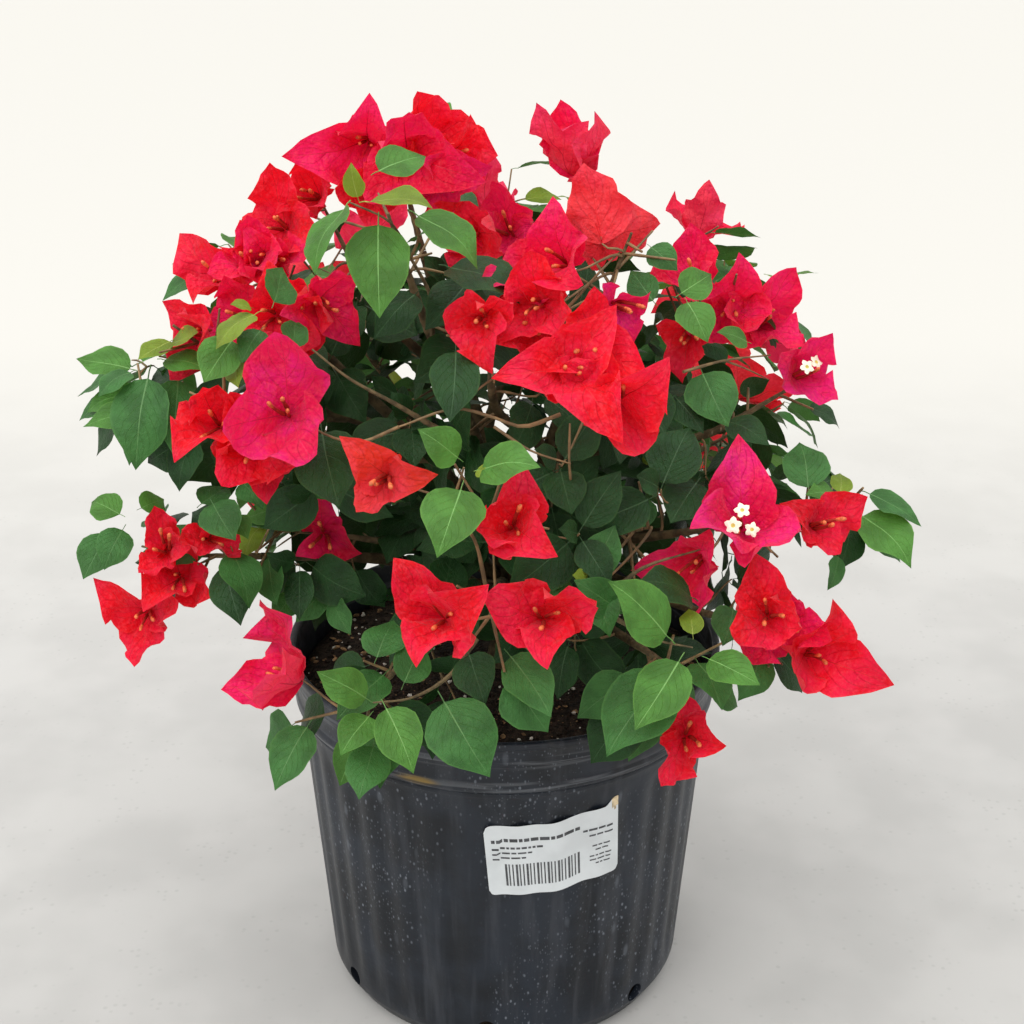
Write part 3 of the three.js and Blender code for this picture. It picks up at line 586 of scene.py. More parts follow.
class Mass:
    """One mass of foliage: its middle, the way it faces and the way its stem runs."""

    def __init__(self, index, row):
        for column, value in zip(COLUMNS, row):
            setattr(self, column, value)
        self.index = index
        out = heading(self.bearing, self.rise)
        self.middle = CROWN_FORK + out * self.reach
        away = unit(self.middle - CROWN_HEART)
        share = clamp((LIGHT_LEAN["edge"] - self.middle[1]) / LIGHT_LEAN["fade"], 0, 1)
        self.face = blend((away, 1), (FRONT, LIGHT_LEAN["lean"] * share))
        self.run = blend((out, 1), (away, 0.5))

    def add_limbs(self, parent):
        """The bough leaves its parent at a fork and ends at the mass, where the stem goes on."""
        start, along = parent.place(self.fork), parent.way(self.fork)
        tip = self.middle - self.run * (self.size * STEM["entry"])
        spring = np.linalg.norm(tip - start) * BEND["spring"]
        leave = blend((along, 1), (unit(tip - start), BEND["outward"]))
        curve = bezier(start, start + leave * spring, tip - self.run * spring, tip)
        base = BOUGH["main"] if self.from_limb == "trunk" else BOUGH["side"]
        self.bough = Limb(curve, base, BOUGH["tip"])
        end = self.middle + self.run * (self.size * STEM["end"])
        stem = bezier(tip + self.run * CLEAR, self.middle, end)
        self.stem = Limb(stem, STEM["base"], STEM["tip"])


class Bloom:
    """A bloom: its mass and hue, its three bracts, the way it faces and its open flowers."""

    def __init__(self, mass, hue, bracts, axis, twig, flowers=0):
        self.mass, self.hue, self.bracts, self.axis = mass, hue, bracts, axis
        self.twig, self.flowers, self.site = twig, flowers, bracts[0].root


class Blade:
    """A leaf or a bract as the rule sees it: a folded kite of six corners."""

    def __init__(self, root, way, face, length, shape):
        up = square(face, way)
        side = np.cross(way, up)
        wide, lift, half = shape["width"] / 2, shape["lift"], shape["thickness"] / 2
        middle = root + way * (shape["widest"] * length)
        self.root, self.way, self.up, self.length = root, way, up, length
        self.tip = root + way * length
        self.middle = (root + self.tip) / 2
        self.left = middle - side * wide * length + up * lift * length
        self.right = middle + side * wide * length + up * lift * length
        self.over, self.under = middle + up * half, middle - up * half
        corners = (root, self.tip, self.left, self.right, self.over, self.under)
        edges = ((0, 1), (2, 1), (3, 1), (0, 2), (0, 3))
        halfway = [(corners[a] + corners[b]) / 2 for a, b in edges]
        self.places = np.array([*corners, *halfway])

    def halves(self):
        yield self.root, self.right, self.over
        yield self.right, self.tip, self.over
        yield self.tip, self.left, self.over
        yield self.left, self.root, self.over

    def clear_of(self, samples):
        around_it = self.length * 0.6 + BOUGH["main"] + GAP["pot"]
        near = samples[np.linalg.norm(samples[:, :3] - self.middle, axis=1) < around_it]
        for half in self.halves():
            for *place, radius in near:
                closest = closest_point_on_tri(Vector(place), *map(Vector, half))
                if (closest - Vector(place)).length <= radius + GAP["limb"]:
                    return False
        return True

    def crosses(self, other):
        reach = self.length + other.length
        if np.linalg.norm(self.over - other.over) >= reach:
            return False
        return self.edges_cross(other) or other.edges_cross(self)

    def edges_cross(self, other):
        heel = self.root + (self.over - self.root) * 0.35
        edges = [(self.left, self.tip), (self.right, self.tip), (self.left, heel)]
        edges += [(self.right, heel), (heel, self.tip), (self.left, self.right)]
        sides = ((other.root, other.right, other.tip), (other.tip, other.left, other.root))
        for start, end in edges:
            ray = Vector(end - start)
            for side in sides:
                met = intersect_ray_tri(*map(Vector, side), ray, Vector(start), True)
                if met is None or (met - Vector(start)).length >= ray.length:
                    continue
                if (met - Vector(other.root)).length > BRACT["heart"]:
                    return True
        return False


def inner_radius(height):
    share = (height - POT["floor"]) / (POT["height"] - POT["floor"])
    return POT["inner_foot"] + share * (POT["inner_top"] - POT["inner_foot"])


class Plant:
    """The whole plant, grown once and kept for every piece that is made from it."""

    grown = None

    def __init__(self, crown):
        self.twigs, self.leaves, self.blooms = [], [], []
        self.front_leaves, self.sites = [], []
        self.grow_limbs()
        for mass in self.masses:
            others = [other.stem.samples() for other in self.masses if other is not mass]
            mass.foreign = np.vstack([self.limb_samples, *others])
            self.grow(mass)
        self.twigs += [(mass.stem, "wood") for mass in self.masses]
        self.clear_the_front()
        self.grow_front()
        self.grow_shoots()
        for thick, *places in FRONT_TWIGS:
            path = rounded([np.array(place, float) for place in places])
            self.twigs.append((Limb(path, thick, thick * 0.6), "wood" if thick > 1.2 else "shoot"))
        low = [row for row in self.leaves if row[0].root[2] < CREST]
        self.leaves = [row for row in low if not self.hides(row[0])] + self.front_leaves
        self.grow_back_blooms()
        self.grow_finer(crown)

    def grow_limbs(self):
        """The trunk, then a bough and a stem for each mass."""
        x, y = TRUNK_LEAN
        bends = [
            np.array([x * lean, y * lean, TRUNK_FOOT + TRUNK["height"] * share])
            for lean, share in ((0, -0.05), (0.1, 0.3), (0.55, 0.7), (1, 1))
        ]
        flare = TRUNK["flare"] - TRUNK["foot"]
        self.trunk = Limb(rounded(bends), TRUNK["foot"], TRUNK["tip"], flare)
        self.masses = [Mass(index, row) for index, row in enumerate(MASSES)]
        limbs = {"trunk": self.trunk}
        for mass in self.masses:
            mass.add_limbs(limbs[mass.from_limb])
            limbs[mass.name] = mass.bough
        self.middles = np.array([mass.middle for mass in self.masses])
        self.sizes = np.array([mass.size for mass in self.masses], float)
        self.limb_samples = np.vstack([limb.samples() for limb in limbs.values()])

    def grow_front(self):
        """The blooms, leaves and sprays that have their own places."""
        by_name = {mass.name: mass for mass in self.masses}
        for name, *row in BLOSSOM:
            self.grow_front_bloom(by_name[name], *row)
        for name, rows in FRONT_LEAVES.items():
            for row in rows:
                self.grow_front_leaf(by_name[name], *row)
        for k, (name, place, bearing, rise, *rest) in enumerate(LEAFY_SPRAYS):
            end = np.array(place, float)
            self.grow_leafy_spray(k, by_name[name], end, heading(bearing, rise), *rest)

    def in_space(self, places, mass, slack=0.0):
        """Whether places keep to the space of a mass and clear of the pot and its soil."""
        places = np.atleast_2d(places)
        squares = ((places[:, None, :] - self.middles[None]) ** 2).sum(2) - self.sizes**2
        spread = 2 * np.linalg.norm(self.middles - mass.middle, axis=1)
        spread[mass.index] = 1
        margin = (squares - squares[:, [mass.index]]) / spread
        margin[:, mass.index] = 1e9
        radius, height = np.hypot(places[:, 0], places[:, 1]), places[:, 2]
        inside = radius < inner_radius(POT["height"]) - GAP["pot"]
        inside &= height > SOIL_CROWN + GAP["soil"]
        above = height > POT["height"] + GAP["pot"]
        outside = radius > POT["rim"] + GAP["pot"]
        clear = (margin > GAP["space"] + slack).all(1) & (above | outside | inside)
        return bool(clear.all())

    def blade_fits(self, blade, mass):
        return self.in_space(blade.places, mass) and blade.clear_of(mass.foreign)

    def twig_fits(self, twig, mass):
        places = twig.places(np.linspace(0, 1, math.ceil(twig.length / 3) + 1))
        gaps = np.linalg.norm(places[:, None] - mass.foreign[None, :, :3], axis=2)
        if (gaps <= mass.foreign[:, 3] + TWIG["base"] + GAP["limb"]).any():
            return False
        first = self.in_space(places[:1], mass, STEM["base"])
        return first and self.in_space(places[1:], mass, TWIG["base"])

    def grow(self, mass):
        """What the solid of a mass bears: its blooms, then its leaves on their twigs."""
        chance = seeded(SEEDS["mass"] * (mass.index + 1))
        blades = []
        for k in range(mass.blooms):
            found = self.grow_bloom(k, mass, chance)
            if found:
                twig, bracts, axis = found
                self.twigs.append((twig, "shoot"))
                hue = mass.hues[k % len(mass.hues)]
                self.blooms.append(Bloom(mass, hue, bracts, axis, twig))
                blades += bracts
        tries = math.ceil(mass.leaves / len(TWIG["nodes"])) * 4
        count = 0
        mass.blades, mass.twigs = blades, []
        for k in range(tries):
            if count >= mass.leaves:
                break
            twig, way = self.grow_twig(k, mass, chance)
            if not self.twig_fits(twig, mass):
                continue
            before = count
            for n, share in enumerate(TWIG["nodes"]):
                hand = 1 if (n + k) % 2 else -1
                leaf = self.leaf_at(twig.place(share), way, hand, mass, chance)
                if leaf is None or count >= mass.leaves:
                    continue
                if not any(leaf.crosses(other) for other in blades):
                    blades.append(leaf)
                    self.leaves.append((leaf, mass, "coarse"))
                    count += 1
            if count > before:
                self.twigs.append((twig, "shoot"))
                mass.twigs.append(twig)

    def grow_bloom(self, k, mass, chance):
        """A bloom of a mass, moved in or made smaller until it fits, with its twig."""
        aside = around(mass.face, UP, mass.turn + k * 360 / mass.blooms)
        start = mass.stem.place(between(BLOOM["born_at"], chance))
        roll = 120 * chance()
        vigour = chance()
        for spread_share, size in BLOOM_TRIALS:
            spread = mass.spread * spread_share
            site = mass.middle + aside * spread + mass.face * (mass.size * BLOOM["forward"])
            axis = blend((mass.face, 1), (aside, spread / BLOOM["fan"]))
            length = BRACT["length"] * size * between(BRACT["scale"], lambda: vigour)
            opening = math.radians(between(BRACT["opening"], lambda: vigour))
            bracts = []
            for turn in range(3):
                outwards = around(axis, UP, roll + 120 * turn)
                way = blend((axis, math.cos(opening)), (outwards, math.sin(opening)))
                bracts.append(Blade(site, way, axis, length, BRACT))
            twig = Limb(bezier(start, site), TWIG["base"], TWIG["tip"])
            if all(self.blade_fits(b, mass) for b in bracts) and self.twig_fits(twig, mass):
                return twig, bracts, axis
        return None

    def grow_twig(self, k, mass, chance):
        """The twig that the rule grows k-th from a mass's stem."""
        along = TWIG["first"] + (1 - TWIG["first"]) * ((k * 0.618) % 1)
        start, axis = mass.stem.place(along), mass.stem.way(along)
        aside = around(axis, UP, mass.turn + k * GOLDEN_ANGLE)
        way = blend((aside, 1), (axis, between(TWIG["forward"], chance)))
        end = start + way * (mass.size * between(TWIG["length"], chance))
        return Limb(bezier(start, end), TWIG["base"], TWIG["tip"]), way

    def leaf_way(self, way, hand, mass, chance):
        """A leaf points out and down from its twig, and its upper face looks up and out."""
        across = unit(np.cross(way, UP)) * hand
        droop = between(LEAF["droop"], chance)
        out = blend(
            (way, LEAF["along"]),
            (across, between(LEAF["aside"], chance)),
            (mass.face, LEAF["outward"]),
            (UP, -droop),
        )
        return out, blend((UP, 1), (mass.face, LEAF["face_outward"]))

    def leaf_at(self, node, way, hand, mass, chance):
        out, face = self.leaf_way(way, hand, mass, chance)
        length = LEAF["length"] * between(LEAF["scale"], chance)
        for size in LEAF["sizes"]:
            leaf = Blade(node, out, face, length * size, LEAF)
            if self.blade_fits(leaf, mass):
                return leaf
        return None

    def spray_twig(self, mass, end, axis):
        """A bent twig from the nearest part of a mass's bough or stem to the tip of a spray."""
        parts = [(limb, share) for limb in (mass.bough, mass.stem) for share in SPRAY_ROOTS]
        limb, share = min(parts, key=lambda part: np.linalg.norm(part[0].place(part[1]) - end))
        start = limb.place(share)
        gap = np.linalg.norm(end - start)
        leave = blend((limb.way(share), 0.6), (unit(end - start), 1))
        curve = bezier(start, start + leave * gap * 0.35, end - (axis + UP * 0.5) * gap * 0.3, end)
        twig = Limb(curve, SPRAY_TWIG["base"], SPRAY_TWIG["tip"])
        self.twigs.append((twig, "shoot"))
        mass.twigs.append(twig)
        return twig

    def clear_the_front(self):
        """Takes away the rule's own blooms in front, where every bloom has its own place."""
        front = [b for b in self.blooms if b.site[1] <= BEHIND + BEHIND_SLANT * b.site[0]]
        self.blooms = [bloom for bloom in self.blooms if bloom not in front]
        gone = [bloom.twig for bloom in front]
        self.twigs = [row for row in self.twigs if row[0] not in gone]

    def grow_front_bloom(self, mass, place, bearing, rise, roll, hue, length):
        site, axis = np.array(place, float), heading(bearing, rise)
        chance = seeded(SEEDS["bloom"] * (len(self.blooms) + 1))
        openings = OPENINGS["up" if rise > FACES_UP else "out"]
        bracts = self.bracts_at(site, axis, roll, openings, length, chance)
        flowers = OPEN_FLOWERS.get(mass.name, 0) if hue == "m" else 0
        twig = self.spray_twig(mass, site, axis)
        self.blooms.append(Bloom(mass, hue, bracts, axis, twig, flowers))
        self.sites.append(site)

    def grow_front_leaf(self, mass, root, tip, bearing, rise, tone):
        root, tip = np.array(root, float), np.array(tip, float)
        length = np.linalg.norm(tip - root)
        leaf = Blade(root, (tip - root) / length, heading(bearing, rise), length, LEAF)
        self.front_leaves.append((leaf, mass, tone))
        self.sites.append((root + tip) / 2)

    def bracts_at(self, site, axis, roll, openings, length, chance):
        bracts = []
        for turn in range(3):
            opening = math.radians(between(openings, chance))
            outwards = around(axis, UP, roll + 120 * turn + between((-10, 10), chance))
            way = blend((axis, math.cos(opening)), (outwards, math.sin(opening)))
            bracts.append(Blade(site, way, axis, length * between((0.9, 1.1), chance), BRACT))
        return bracts

    def grow_shoots(self):
        """Leafy shoots along the boughs, which the rule leaves bare, most of them at the back."""
        for mass in self.masses:
            count = SHOOTS["back"] if mass.middle[1] > BACK else SHOOTS["front"]
            for n in range(count):
                share = SHOOTS["first"] + (SHOOTS["last"] - SHOOTS["first"]) * (n + 0.5) / count
                way = mass.bough.way(share)
                aside = around(way, UP, mass.turn + n * GOLDEN_ANGLE)
                axis = blend((aside, 1), (way, 0.7), (UP, 0.2))
                end = mass.bough.place(share) + axis * SHOOTS["length"]
                # Shoots inside the crown mostly take the deep tone, partly for age and partly as
                # painted shade.
                tone = "mid" if n % 3 == 0 and count == SHOOTS["back"] else "deep"
                k = 100 + 10 * mass.index + n
                leaves, length = SHOOTS["leaves"], SHOOTS["leaf"]
                self.grow_leafy_spray(k, mass, end, axis, leaves, length, tone)

    def grow_leafy_spray(self, k, mass, end, axis, leaves, length, tone):
        """Leaves set round the tip of a shoot, the youngest smallest and nearest its end."""
        chance = seeded(SEEDS["spray"] * (k + 1))
        blooms = np.array([row[1] for row in BLOSSOM], float)
        self.spray_twig(mass, end, axis)
        self.sites.append(end)
        for n in range(leaves):
            opening = math.radians(35 + 42 * min(1, n / 2) + between((-8, 8), chance))
            outwards = around(axis, UP, 60 + n * GOLDEN_ANGLE + between((-15, 15), chance))
            way = blend((axis, math.cos(opening)), (outwards, math.sin(opening)), (UP, -0.2))
            share = SPRAY_LEAVES[n] * between((0.9, 1.05), chance)
            leaf = Blade(end - axis * (n * 3.0), way, axis, length * share, LEAF)
            radius = np.hypot(leaf.places[:, 0], leaf.places[:, 1])
            outside = (radius > POT["rim"] + 1) | (leaf.places[:, 2] > POT["height"] + 1)
            free = (outside & (leaf.places[:, 1] < BACK_LIMIT)).all()
            if free and leaf.clear_of(self.limb_samples) and not self.hides(leaf, "fine", blooms):
                kind = "young" if n == 0 and tone != "deep" else tone
                self.front_leaves.append((leaf, mass, kind))

    def hides(self, leaf, kind="coarse", sites=None):
        """Whether a leaf hides one of the sites from the viewer: the tips of twigs, or those given."""
        sites = np.array(self.sites if sites is None else sites)
        views = (VIEWER - sites) / np.linalg.norm(VIEWER - sites, axis=1)[:, None]
        places = (leaf.middle, leaf.tip)
        return any(stands_before(place, sites, views, *HIDING[kind]) for place in places)

    def grow_back_blooms(self):
        """At the back each bloom has another beside it, as the clusters in front do."""
        chance = seeded(SEEDS["beside"])
        for bloom in list(self.blooms):
            if bloom.site[1] >= BEHIND:
                self.grow_beside(bloom, chance)

    def grow_beside(self, bloom, chance):
        mass = bloom.mass
        for _ in range(BESIDE["tries"]):
            aside = around(bloom.axis, UP, 360 * chance())
            site = bloom.site + aside * between(BESIDE["gap"], chance)
            axis = blend((bloom.axis, 1), (aside, between(BESIDE["lean"], chance)))
            roll = 120 * chance()
            length = between(BESIDE["length"], chance)
            bracts = self.bracts_at(site, axis, roll, BRACT["opening"], length, chance)
            if not all(self.blade_fits(bract, mass) for bract in bracts):
                continue
            if not any(bract.crosses(other) for bract in bracts for other in mass.blades):
                twig = self.spray_twig(mass, site, axis)
                mass.blades += bracts
                self.blooms.append(Bloom(mass, bloom.hue, bracts, axis, twig))
                return

    def grow_finer(self, crown):
        """The rule carried on: finer twigs from every stem and twig, with smaller leaves."""
        self.limb_tree = KDTree(len(self.limb_samples))
        for k, sample in enumerate(self.limb_samples):
            self.limb_tree.insert(Vector(sample[:3]), k)
        self.limb_tree.balance()
        sites = np.array([bloom.site for bloom in self.blooms])
        self.bloom_fronts = sites, np.array([bloom.axis for bloom in self.blooms])
        self.sites = [*self.sites, *sites]
        self.leaf_middles = [leaf.middle for leaf, _, _ in self.leaves]
        for mass in self.masses:
            chance = seeded(SEEDS["finer"] * (mass.index + 1))
            parents = [mass.stem, *mass.twigs]
            for k in range(int(mass.finer * crown.fullness)):
                parent = parents[int(chance() * len(parents))]
                twig, way = self.finer_twig(k, mass, parent, chance)
                if not self.in_space(twig.places((0.5, 1)), mass, FINE_TWIG["gap"]):
                    continue
                if self.bear_finer_leaves(k, mass, twig, way, crown, chance):
                    self.twigs.append((twig, "shoot"))
                    parents.append(twig)

    def finer_twig(self, k, mass, parent, chance):
        along = between(FINE_TWIG["along"], chance)
        start, axis = parent.place(along), parent.way(along)
        aside = around(axis, UP, mass.turn + k * GOLDEN_ANGLE)
        forward = between(FINE_TWIG["forward"], chance)
        way = blend((aside, 1), (axis, forward), (mass.face, FINE_TWIG["outward"]))
        end = start + way * between(FINE_TWIG["length"], chance)
        sag = square(UP, way) * between(FINE_TWIG["sag"], chance)
        curve = bezier(start, (start + end) / 2 + sag, end)
        return Limb(curve, FINE_TWIG["base"], FINE_TWIG["tip"]), way

    def bear_finer_leaves(self, k, mass, twig, way, crown, chance):
        """Tries a leaf at each node of a finer twig. Gives how many there was room for."""
        borne = 0
        for n, share in enumerate(FINE_TWIG["nodes"]):
            hand = 1 if (n + k) % 2 else -1
            out, face = self.leaf_way(way, hand, mass, chance)
            face = around(out, face, between(FINE_LEAF["turn"], chance))
            size = crown.finer_leaf / MM * between(FINE_LEAF["scale"], chance)
            leaf = Blade(twig.place(share), out, face, size, LEAF)
            if self.fine_leaf_fits(leaf, mass, crown.spacing / MM):
                self.leaves.append((leaf, mass, "fine"))
                self.leaf_middles.append(leaf.middle)
                borne += 1
        return borne

    def fine_leaf_fits(self, leaf, mass, spacing):
        reach = mass.size * FINE_LEAF["reach"] + FINE_LEAF["slack"]
        gaps = np.array(self.leaf_middles) - leaf.middle
        if np.linalg.norm(leaf.tip - mass.middle) > reach or ((gaps**2).sum(1) < spacing**2).any():
            return False
        if not self.in_space(leaf.places[:6], mass) or self.hides(leaf, "fine"):
            return False
        places = (leaf.middle, leaf.tip, leaf.left, leaf.right)
        if any(stands_before(place, *self.bloom_fronts, *HIDING["bloom"]) for place in places):
            return False
        for place in leaf.places:
            for _, index, distance in self.limb_tree.find_range(Vector(place), 8):
                if distance < self.limb_samples[index, 3] + FINE_LEAF["limb_gap"]:
                    return False
        return True


def plant(context):
    """The grown plant, from the first piece that asks for it."""
    if Plant.grown is None:
        Plant.grown = Plant(context.scene.bush_crown)
    return Plant.grown


class Wiring:
    """Adds nodes to a tree and joins them up."""

    def __init__(self, tree):
        self.tree = tree

    def add(self, kind, inputs=None, **settings):
        """A new node. Inputs are given by name or place, as a value or another node's output."""
        node = self.tree.nodes.new(kind)
        for key, value in settings.items():
            setattr(node, key, value)
        for key, value in (inputs or {}).items():
            if isinstance(value, bpy.types.NodeSocket):
                self.tree.links.new(value, node.inputs[key])
            elif value is not None:
                node.inputs[key].default_value = value
        return node

    def math(self, operation, first, second=0.5, third=None):
        inputs = {0: first, 1: second, 2: third}
        return self.add("ShaderNodeMath", inputs, operation=operation).outputs[0]

    def times(self, first, second):
        return self.math("MULTIPLY", first, second)

    def rest(self, value):
        """What is left of one."""
        return self.math("SUBTRACT", 1.0, value)

    def vector(self, operation, first, second=None):
        return self.add("ShaderNodeVectorMath", {0: first, 1: second}, operation=operation).outputs

    def axes(self, place):
        """The three numbers of a place, a chart or a colour."""
        return self.add("ShaderNodeSeparateXYZ", {0: place}).outputs

    def place(self):
        """Where a point lies in its piece's own frame."""
        return self.add("ShaderNodeTexCoord").outputs["Object"]

    def noise(self, place, scale, detail):
        inputs = {"Vector": place, "Scale": scale, "Detail": detail}
        return self.add("ShaderNodeTexNoise", inputs).outputs[0]

    def between(self, value, low, high):
        """How far value has gone from low to high, smoothly, from 0 to 1."""
        inputs = {"Value": value, "From Min": low, "From Max": high}
        return self.add("ShaderNodeMapRange", inputs, interpolation_type="SMOOTHSTEP").outputs[0]

    def mix(self, share, first, second, blend_type="MIX"):
        inputs = {0: share, 6: first, 7: second}
        settings = {"data_type": "RGBA", "blend_type": blend_type}
        return self.add("ShaderNodeMix", inputs, **settings).outputs[2]


def new_tree(name, kind, inputs, outputs):
    """An empty node group with its sockets, and the wiring and the ends to join to."""
    tree = bpy.data.node_groups.new(name, kind)
    for direction, sockets in (("INPUT", inputs), ("OUTPUT", outputs)):
        for label, socket_type, *default in sockets:
            made = tree.interface.new_socket(label, in_out=direction, socket_type=socket_type)
            if default:
                made.default_value = default[0]
    wires = Wiring(tree)
    start, end = wires.add("NodeGroupInput"), wires.add("NodeGroupOutput")
    return tree, wires, start.outputs, end.inputs


FLOAT, COLOUR = "NodeSocketFloat", "NodeSocketColor"
GEOMETRY, FINISH = "NodeSocketGeometry", "NodeSocketMaterial"


def drift_group():
    """Two colours that run into each other in soft patches."""
    inputs = [("Colour", COLOUR), ("Other", COLOUR), ("Patches", FLOAT, 60.0)]
    outputs = [("Colour", COLOUR)]
    tree, wires, given, made = new_tree("colour drift", "ShaderNodeTree", inputs, outputs)
    share = wires.between(wires.noise(wires.place(), given["Patches"], 3.0), 0.36, 0.64)
    tree.links.new(wires.mix(share, given["Colour"], given["Other"]), made["Colour"])
    return tree


def speck_group():
    """Small scattered specks, such as dust, scuff marks and mineral spots."""
    inputs = [("Fineness", FLOAT, 300.0), ("Amount", FLOAT, 0.3), ("Stretch", FLOAT, 1.0)]
    tree, wires, given, made = new_tree("specks", "ShaderNodeTree", inputs, [("Mask", FLOAT)])
    flat = wires.add("ShaderNodeCombineXYZ", {0: 1.0, 1: 1.0, 2: given["Stretch"]}).outputs[0]
    place = wires.vector("MULTIPLY", wires.place(), flat)[0]
    cells = wires.add("ShaderNodeTexVoronoi", {"Vector": place, "Scale": given["Fineness"]})
    few = wires.math("LESS_THAN", wires.axes(cells.outputs["Color"])[0], given["Amount"])
    dot = wires.rest(wires.between(cells.outputs["Distance"], 0.12, 0.34))
    patchy = wires.between(wires.noise(place, 14.0, 2.0), 0.42, 0.62)
    tree.links.new(wires.times(wires.times(few, dot), patchy), made["Mask"])
    return tree


def relief_group():
    """The height of a fine uneven surface: soft swells with crisp creases between them."""
    inputs = [("Swells", FLOAT, 200.0), ("Creases", FLOAT, 260.0), ("Crispness", FLOAT, 0.5)]
    outputs = [("Height", FLOAT)]
    tree, wires, given, made = new_tree("fine relief", "ShaderNodeTree", inputs, outputs)
    place = wires.place()
    swell = wires.noise(place, given["Swells"], 4.0)
    cells = {"Vector": place, "Scale": given["Creases"]}
    edges = wires.add("ShaderNodeTexVoronoi", cells, feature="DISTANCE_TO_EDGE")
    crease = wires.between(edges.outputs["Distance"], 0.0, 0.3)
    height = wires.math("MULTIPLY_ADD", crease, given["Crispness"], swell)
    tree.links.new(height, made["Height"])
    return tree


def vein_group():
    """The side veins of a blade, from its own chart: across from edge to edge, then along."""
    inputs = [("Count", FLOAT, 6.5), ("Slant", FLOAT, 0.35), ("Width", FLOAT, 0.07)]
    outputs = [("Veins", FLOAT), ("Margin", FLOAT)]
    tree, wires, given, made = new_tree("side veins", "ShaderNodeTree", inputs, outputs)
    spot = wires.axes(wires.add("ShaderNodeUVMap", uv_map="blade").outputs[0])
    across = wires.math("ABSOLUTE", wires.math("MULTIPLY_ADD", spot[0], 2.0, -1.0))
    slant = wires.times(across, given["Slant"])
    slant = wires.times(slant, wires.math("MULTIPLY_ADD", across, 0.5, 0.75))
    along = wires.times(wires.math("SUBTRACT", spot[1], slant), given["Count"])
    nearest = wires.math("PINGPONG", along, 0.5)
    line = wires.rest(wires.between(nearest, 0.0, given["Width"]))
    fade = wires.rest(wires.between(across, 0.55, 1.0))
    tree.links.new(wires.times(line, fade), made["Veins"])
    tree.links.new(wires.between(across, 0.9, 0.99), made["Margin"])
    return tree


# The node groups made so far, by the function that makes them
GROUPS = {}


def group_from(maker):
    if maker not in GROUPS:
        GROUPS[maker] = maker()
    return GROUPS[maker]


def group_node(wires, maker, **inputs):
    """One of the shared effects, placed in a material with its own values."""
    outputs = wires.add("ShaderNodeGroup", inputs, node_tree=group_from(maker)).outputs
    return outputs[0] if len(outputs) == 1 else outputs


def tint(colour, share):
    """A colour made darker or lighter, as four numbers."""
    return (*(clamp(channel * share, 0, 1) for channel in colour), 1.0)


def drift(wires, colour, dark, light, patches):
    both = {"Colour": tint(colour, dark), "Other": tint(colour, light)}
    return group_node(wires, drift_group, Patches=patches, **both)


def specks(wires, fineness, amount, stretch=1.0):
    return group_node(wires, speck_group, Fineness=fineness, Amount=amount, Stretch=stretch)


def relief(wires, swells, creases, crispness):
    values = {"Swells": swells, "Creases": creases, "Crispness": crispness}
    return group_node(wires, relief_group, **values)


def new_material(name, roughness, specular=0.5):
    material = bpy.data.materials.new(name)
    material.use_nodes = True
    surface = material.node_tree.nodes["Principled BSDF"].inputs
    surface["Roughness"].default_value = roughness
    surface["Specular IOR Level"].default_value = specular
    return material, Wiring(material.node_tree), surface


def lay_on(wires, surface, colour, height, strength, distance):
    """Joins a surface to its colour and to the height that raises it."""
    inputs = {"Height": height, "Strength": strength, "Distance": distance}
    normal = wires.add("ShaderNodeBump", inputs).outputs[0]
    wires.tree.links.new(colour, surface["Base Color"])
    wires.tree.links.new(normal, surface["Normal"])


def let_light_through(wires, share, colour):
    """Adds the light that a thin sheet lets through from behind."""
    nodes = wires.tree.nodes
    glow = wires.add("ShaderNodeBsdfTranslucent", {"Color": colour}).outputs[0]
    shader = nodes["Principled BSDF"].outputs[0]
    both = wires.add("ShaderNodeMixShader", {0: share, 1: shader, 2: glow})
    wires.tree.links.new(both.outputs[0], nodes["Material Output"].inputs["Surface"])


def two_faced(wires, front, back):
    """One colour for the upper face of a blade and another for its underside."""
    behind = wires.add("ShaderNodeNewGeometry").outputs["Backfacing"]
    return wires.mix(behind, front, back)


def leaf_material(name, colour, through):
    material, wires, surface = new_material(name, 0.45, 0.22)
    veins, margin = group_node(wires, vein_group, Count=6.5, Slant=0.42, Width=0.06)
    red, green, blue = colour
    pale = (red * 1.45 + 0.01, green * 1.25 + 0.02, blue * 1.4, 1.0)
    dull = (red * 1.3 + 0.03, green * 1.15 + 0.03, blue * 1.5 + 0.01, 1.0)
    veined = wires.mix(wires.times(veins, 0.75), drift(wires, colour, 0.8, 1.22, 70.0), pale)
    edged = wires.mix(wires.times(margin, 0.7), veined, pale)
    shade = two_faced(wires, edged, wires.mix(0.5, edged, dull))
    height = relief(wires, 380.0, 900.0, 0.12)
    height = wires.math("SUBTRACT", height, wires.times(veins, 0.35))
    lay_on(wires, surface, shade, height, 0.8, 0.0010)
    let_light_through(wires, through, (red * 2.0, green * 1.7, blue * 0.9, 1.0))
    return material


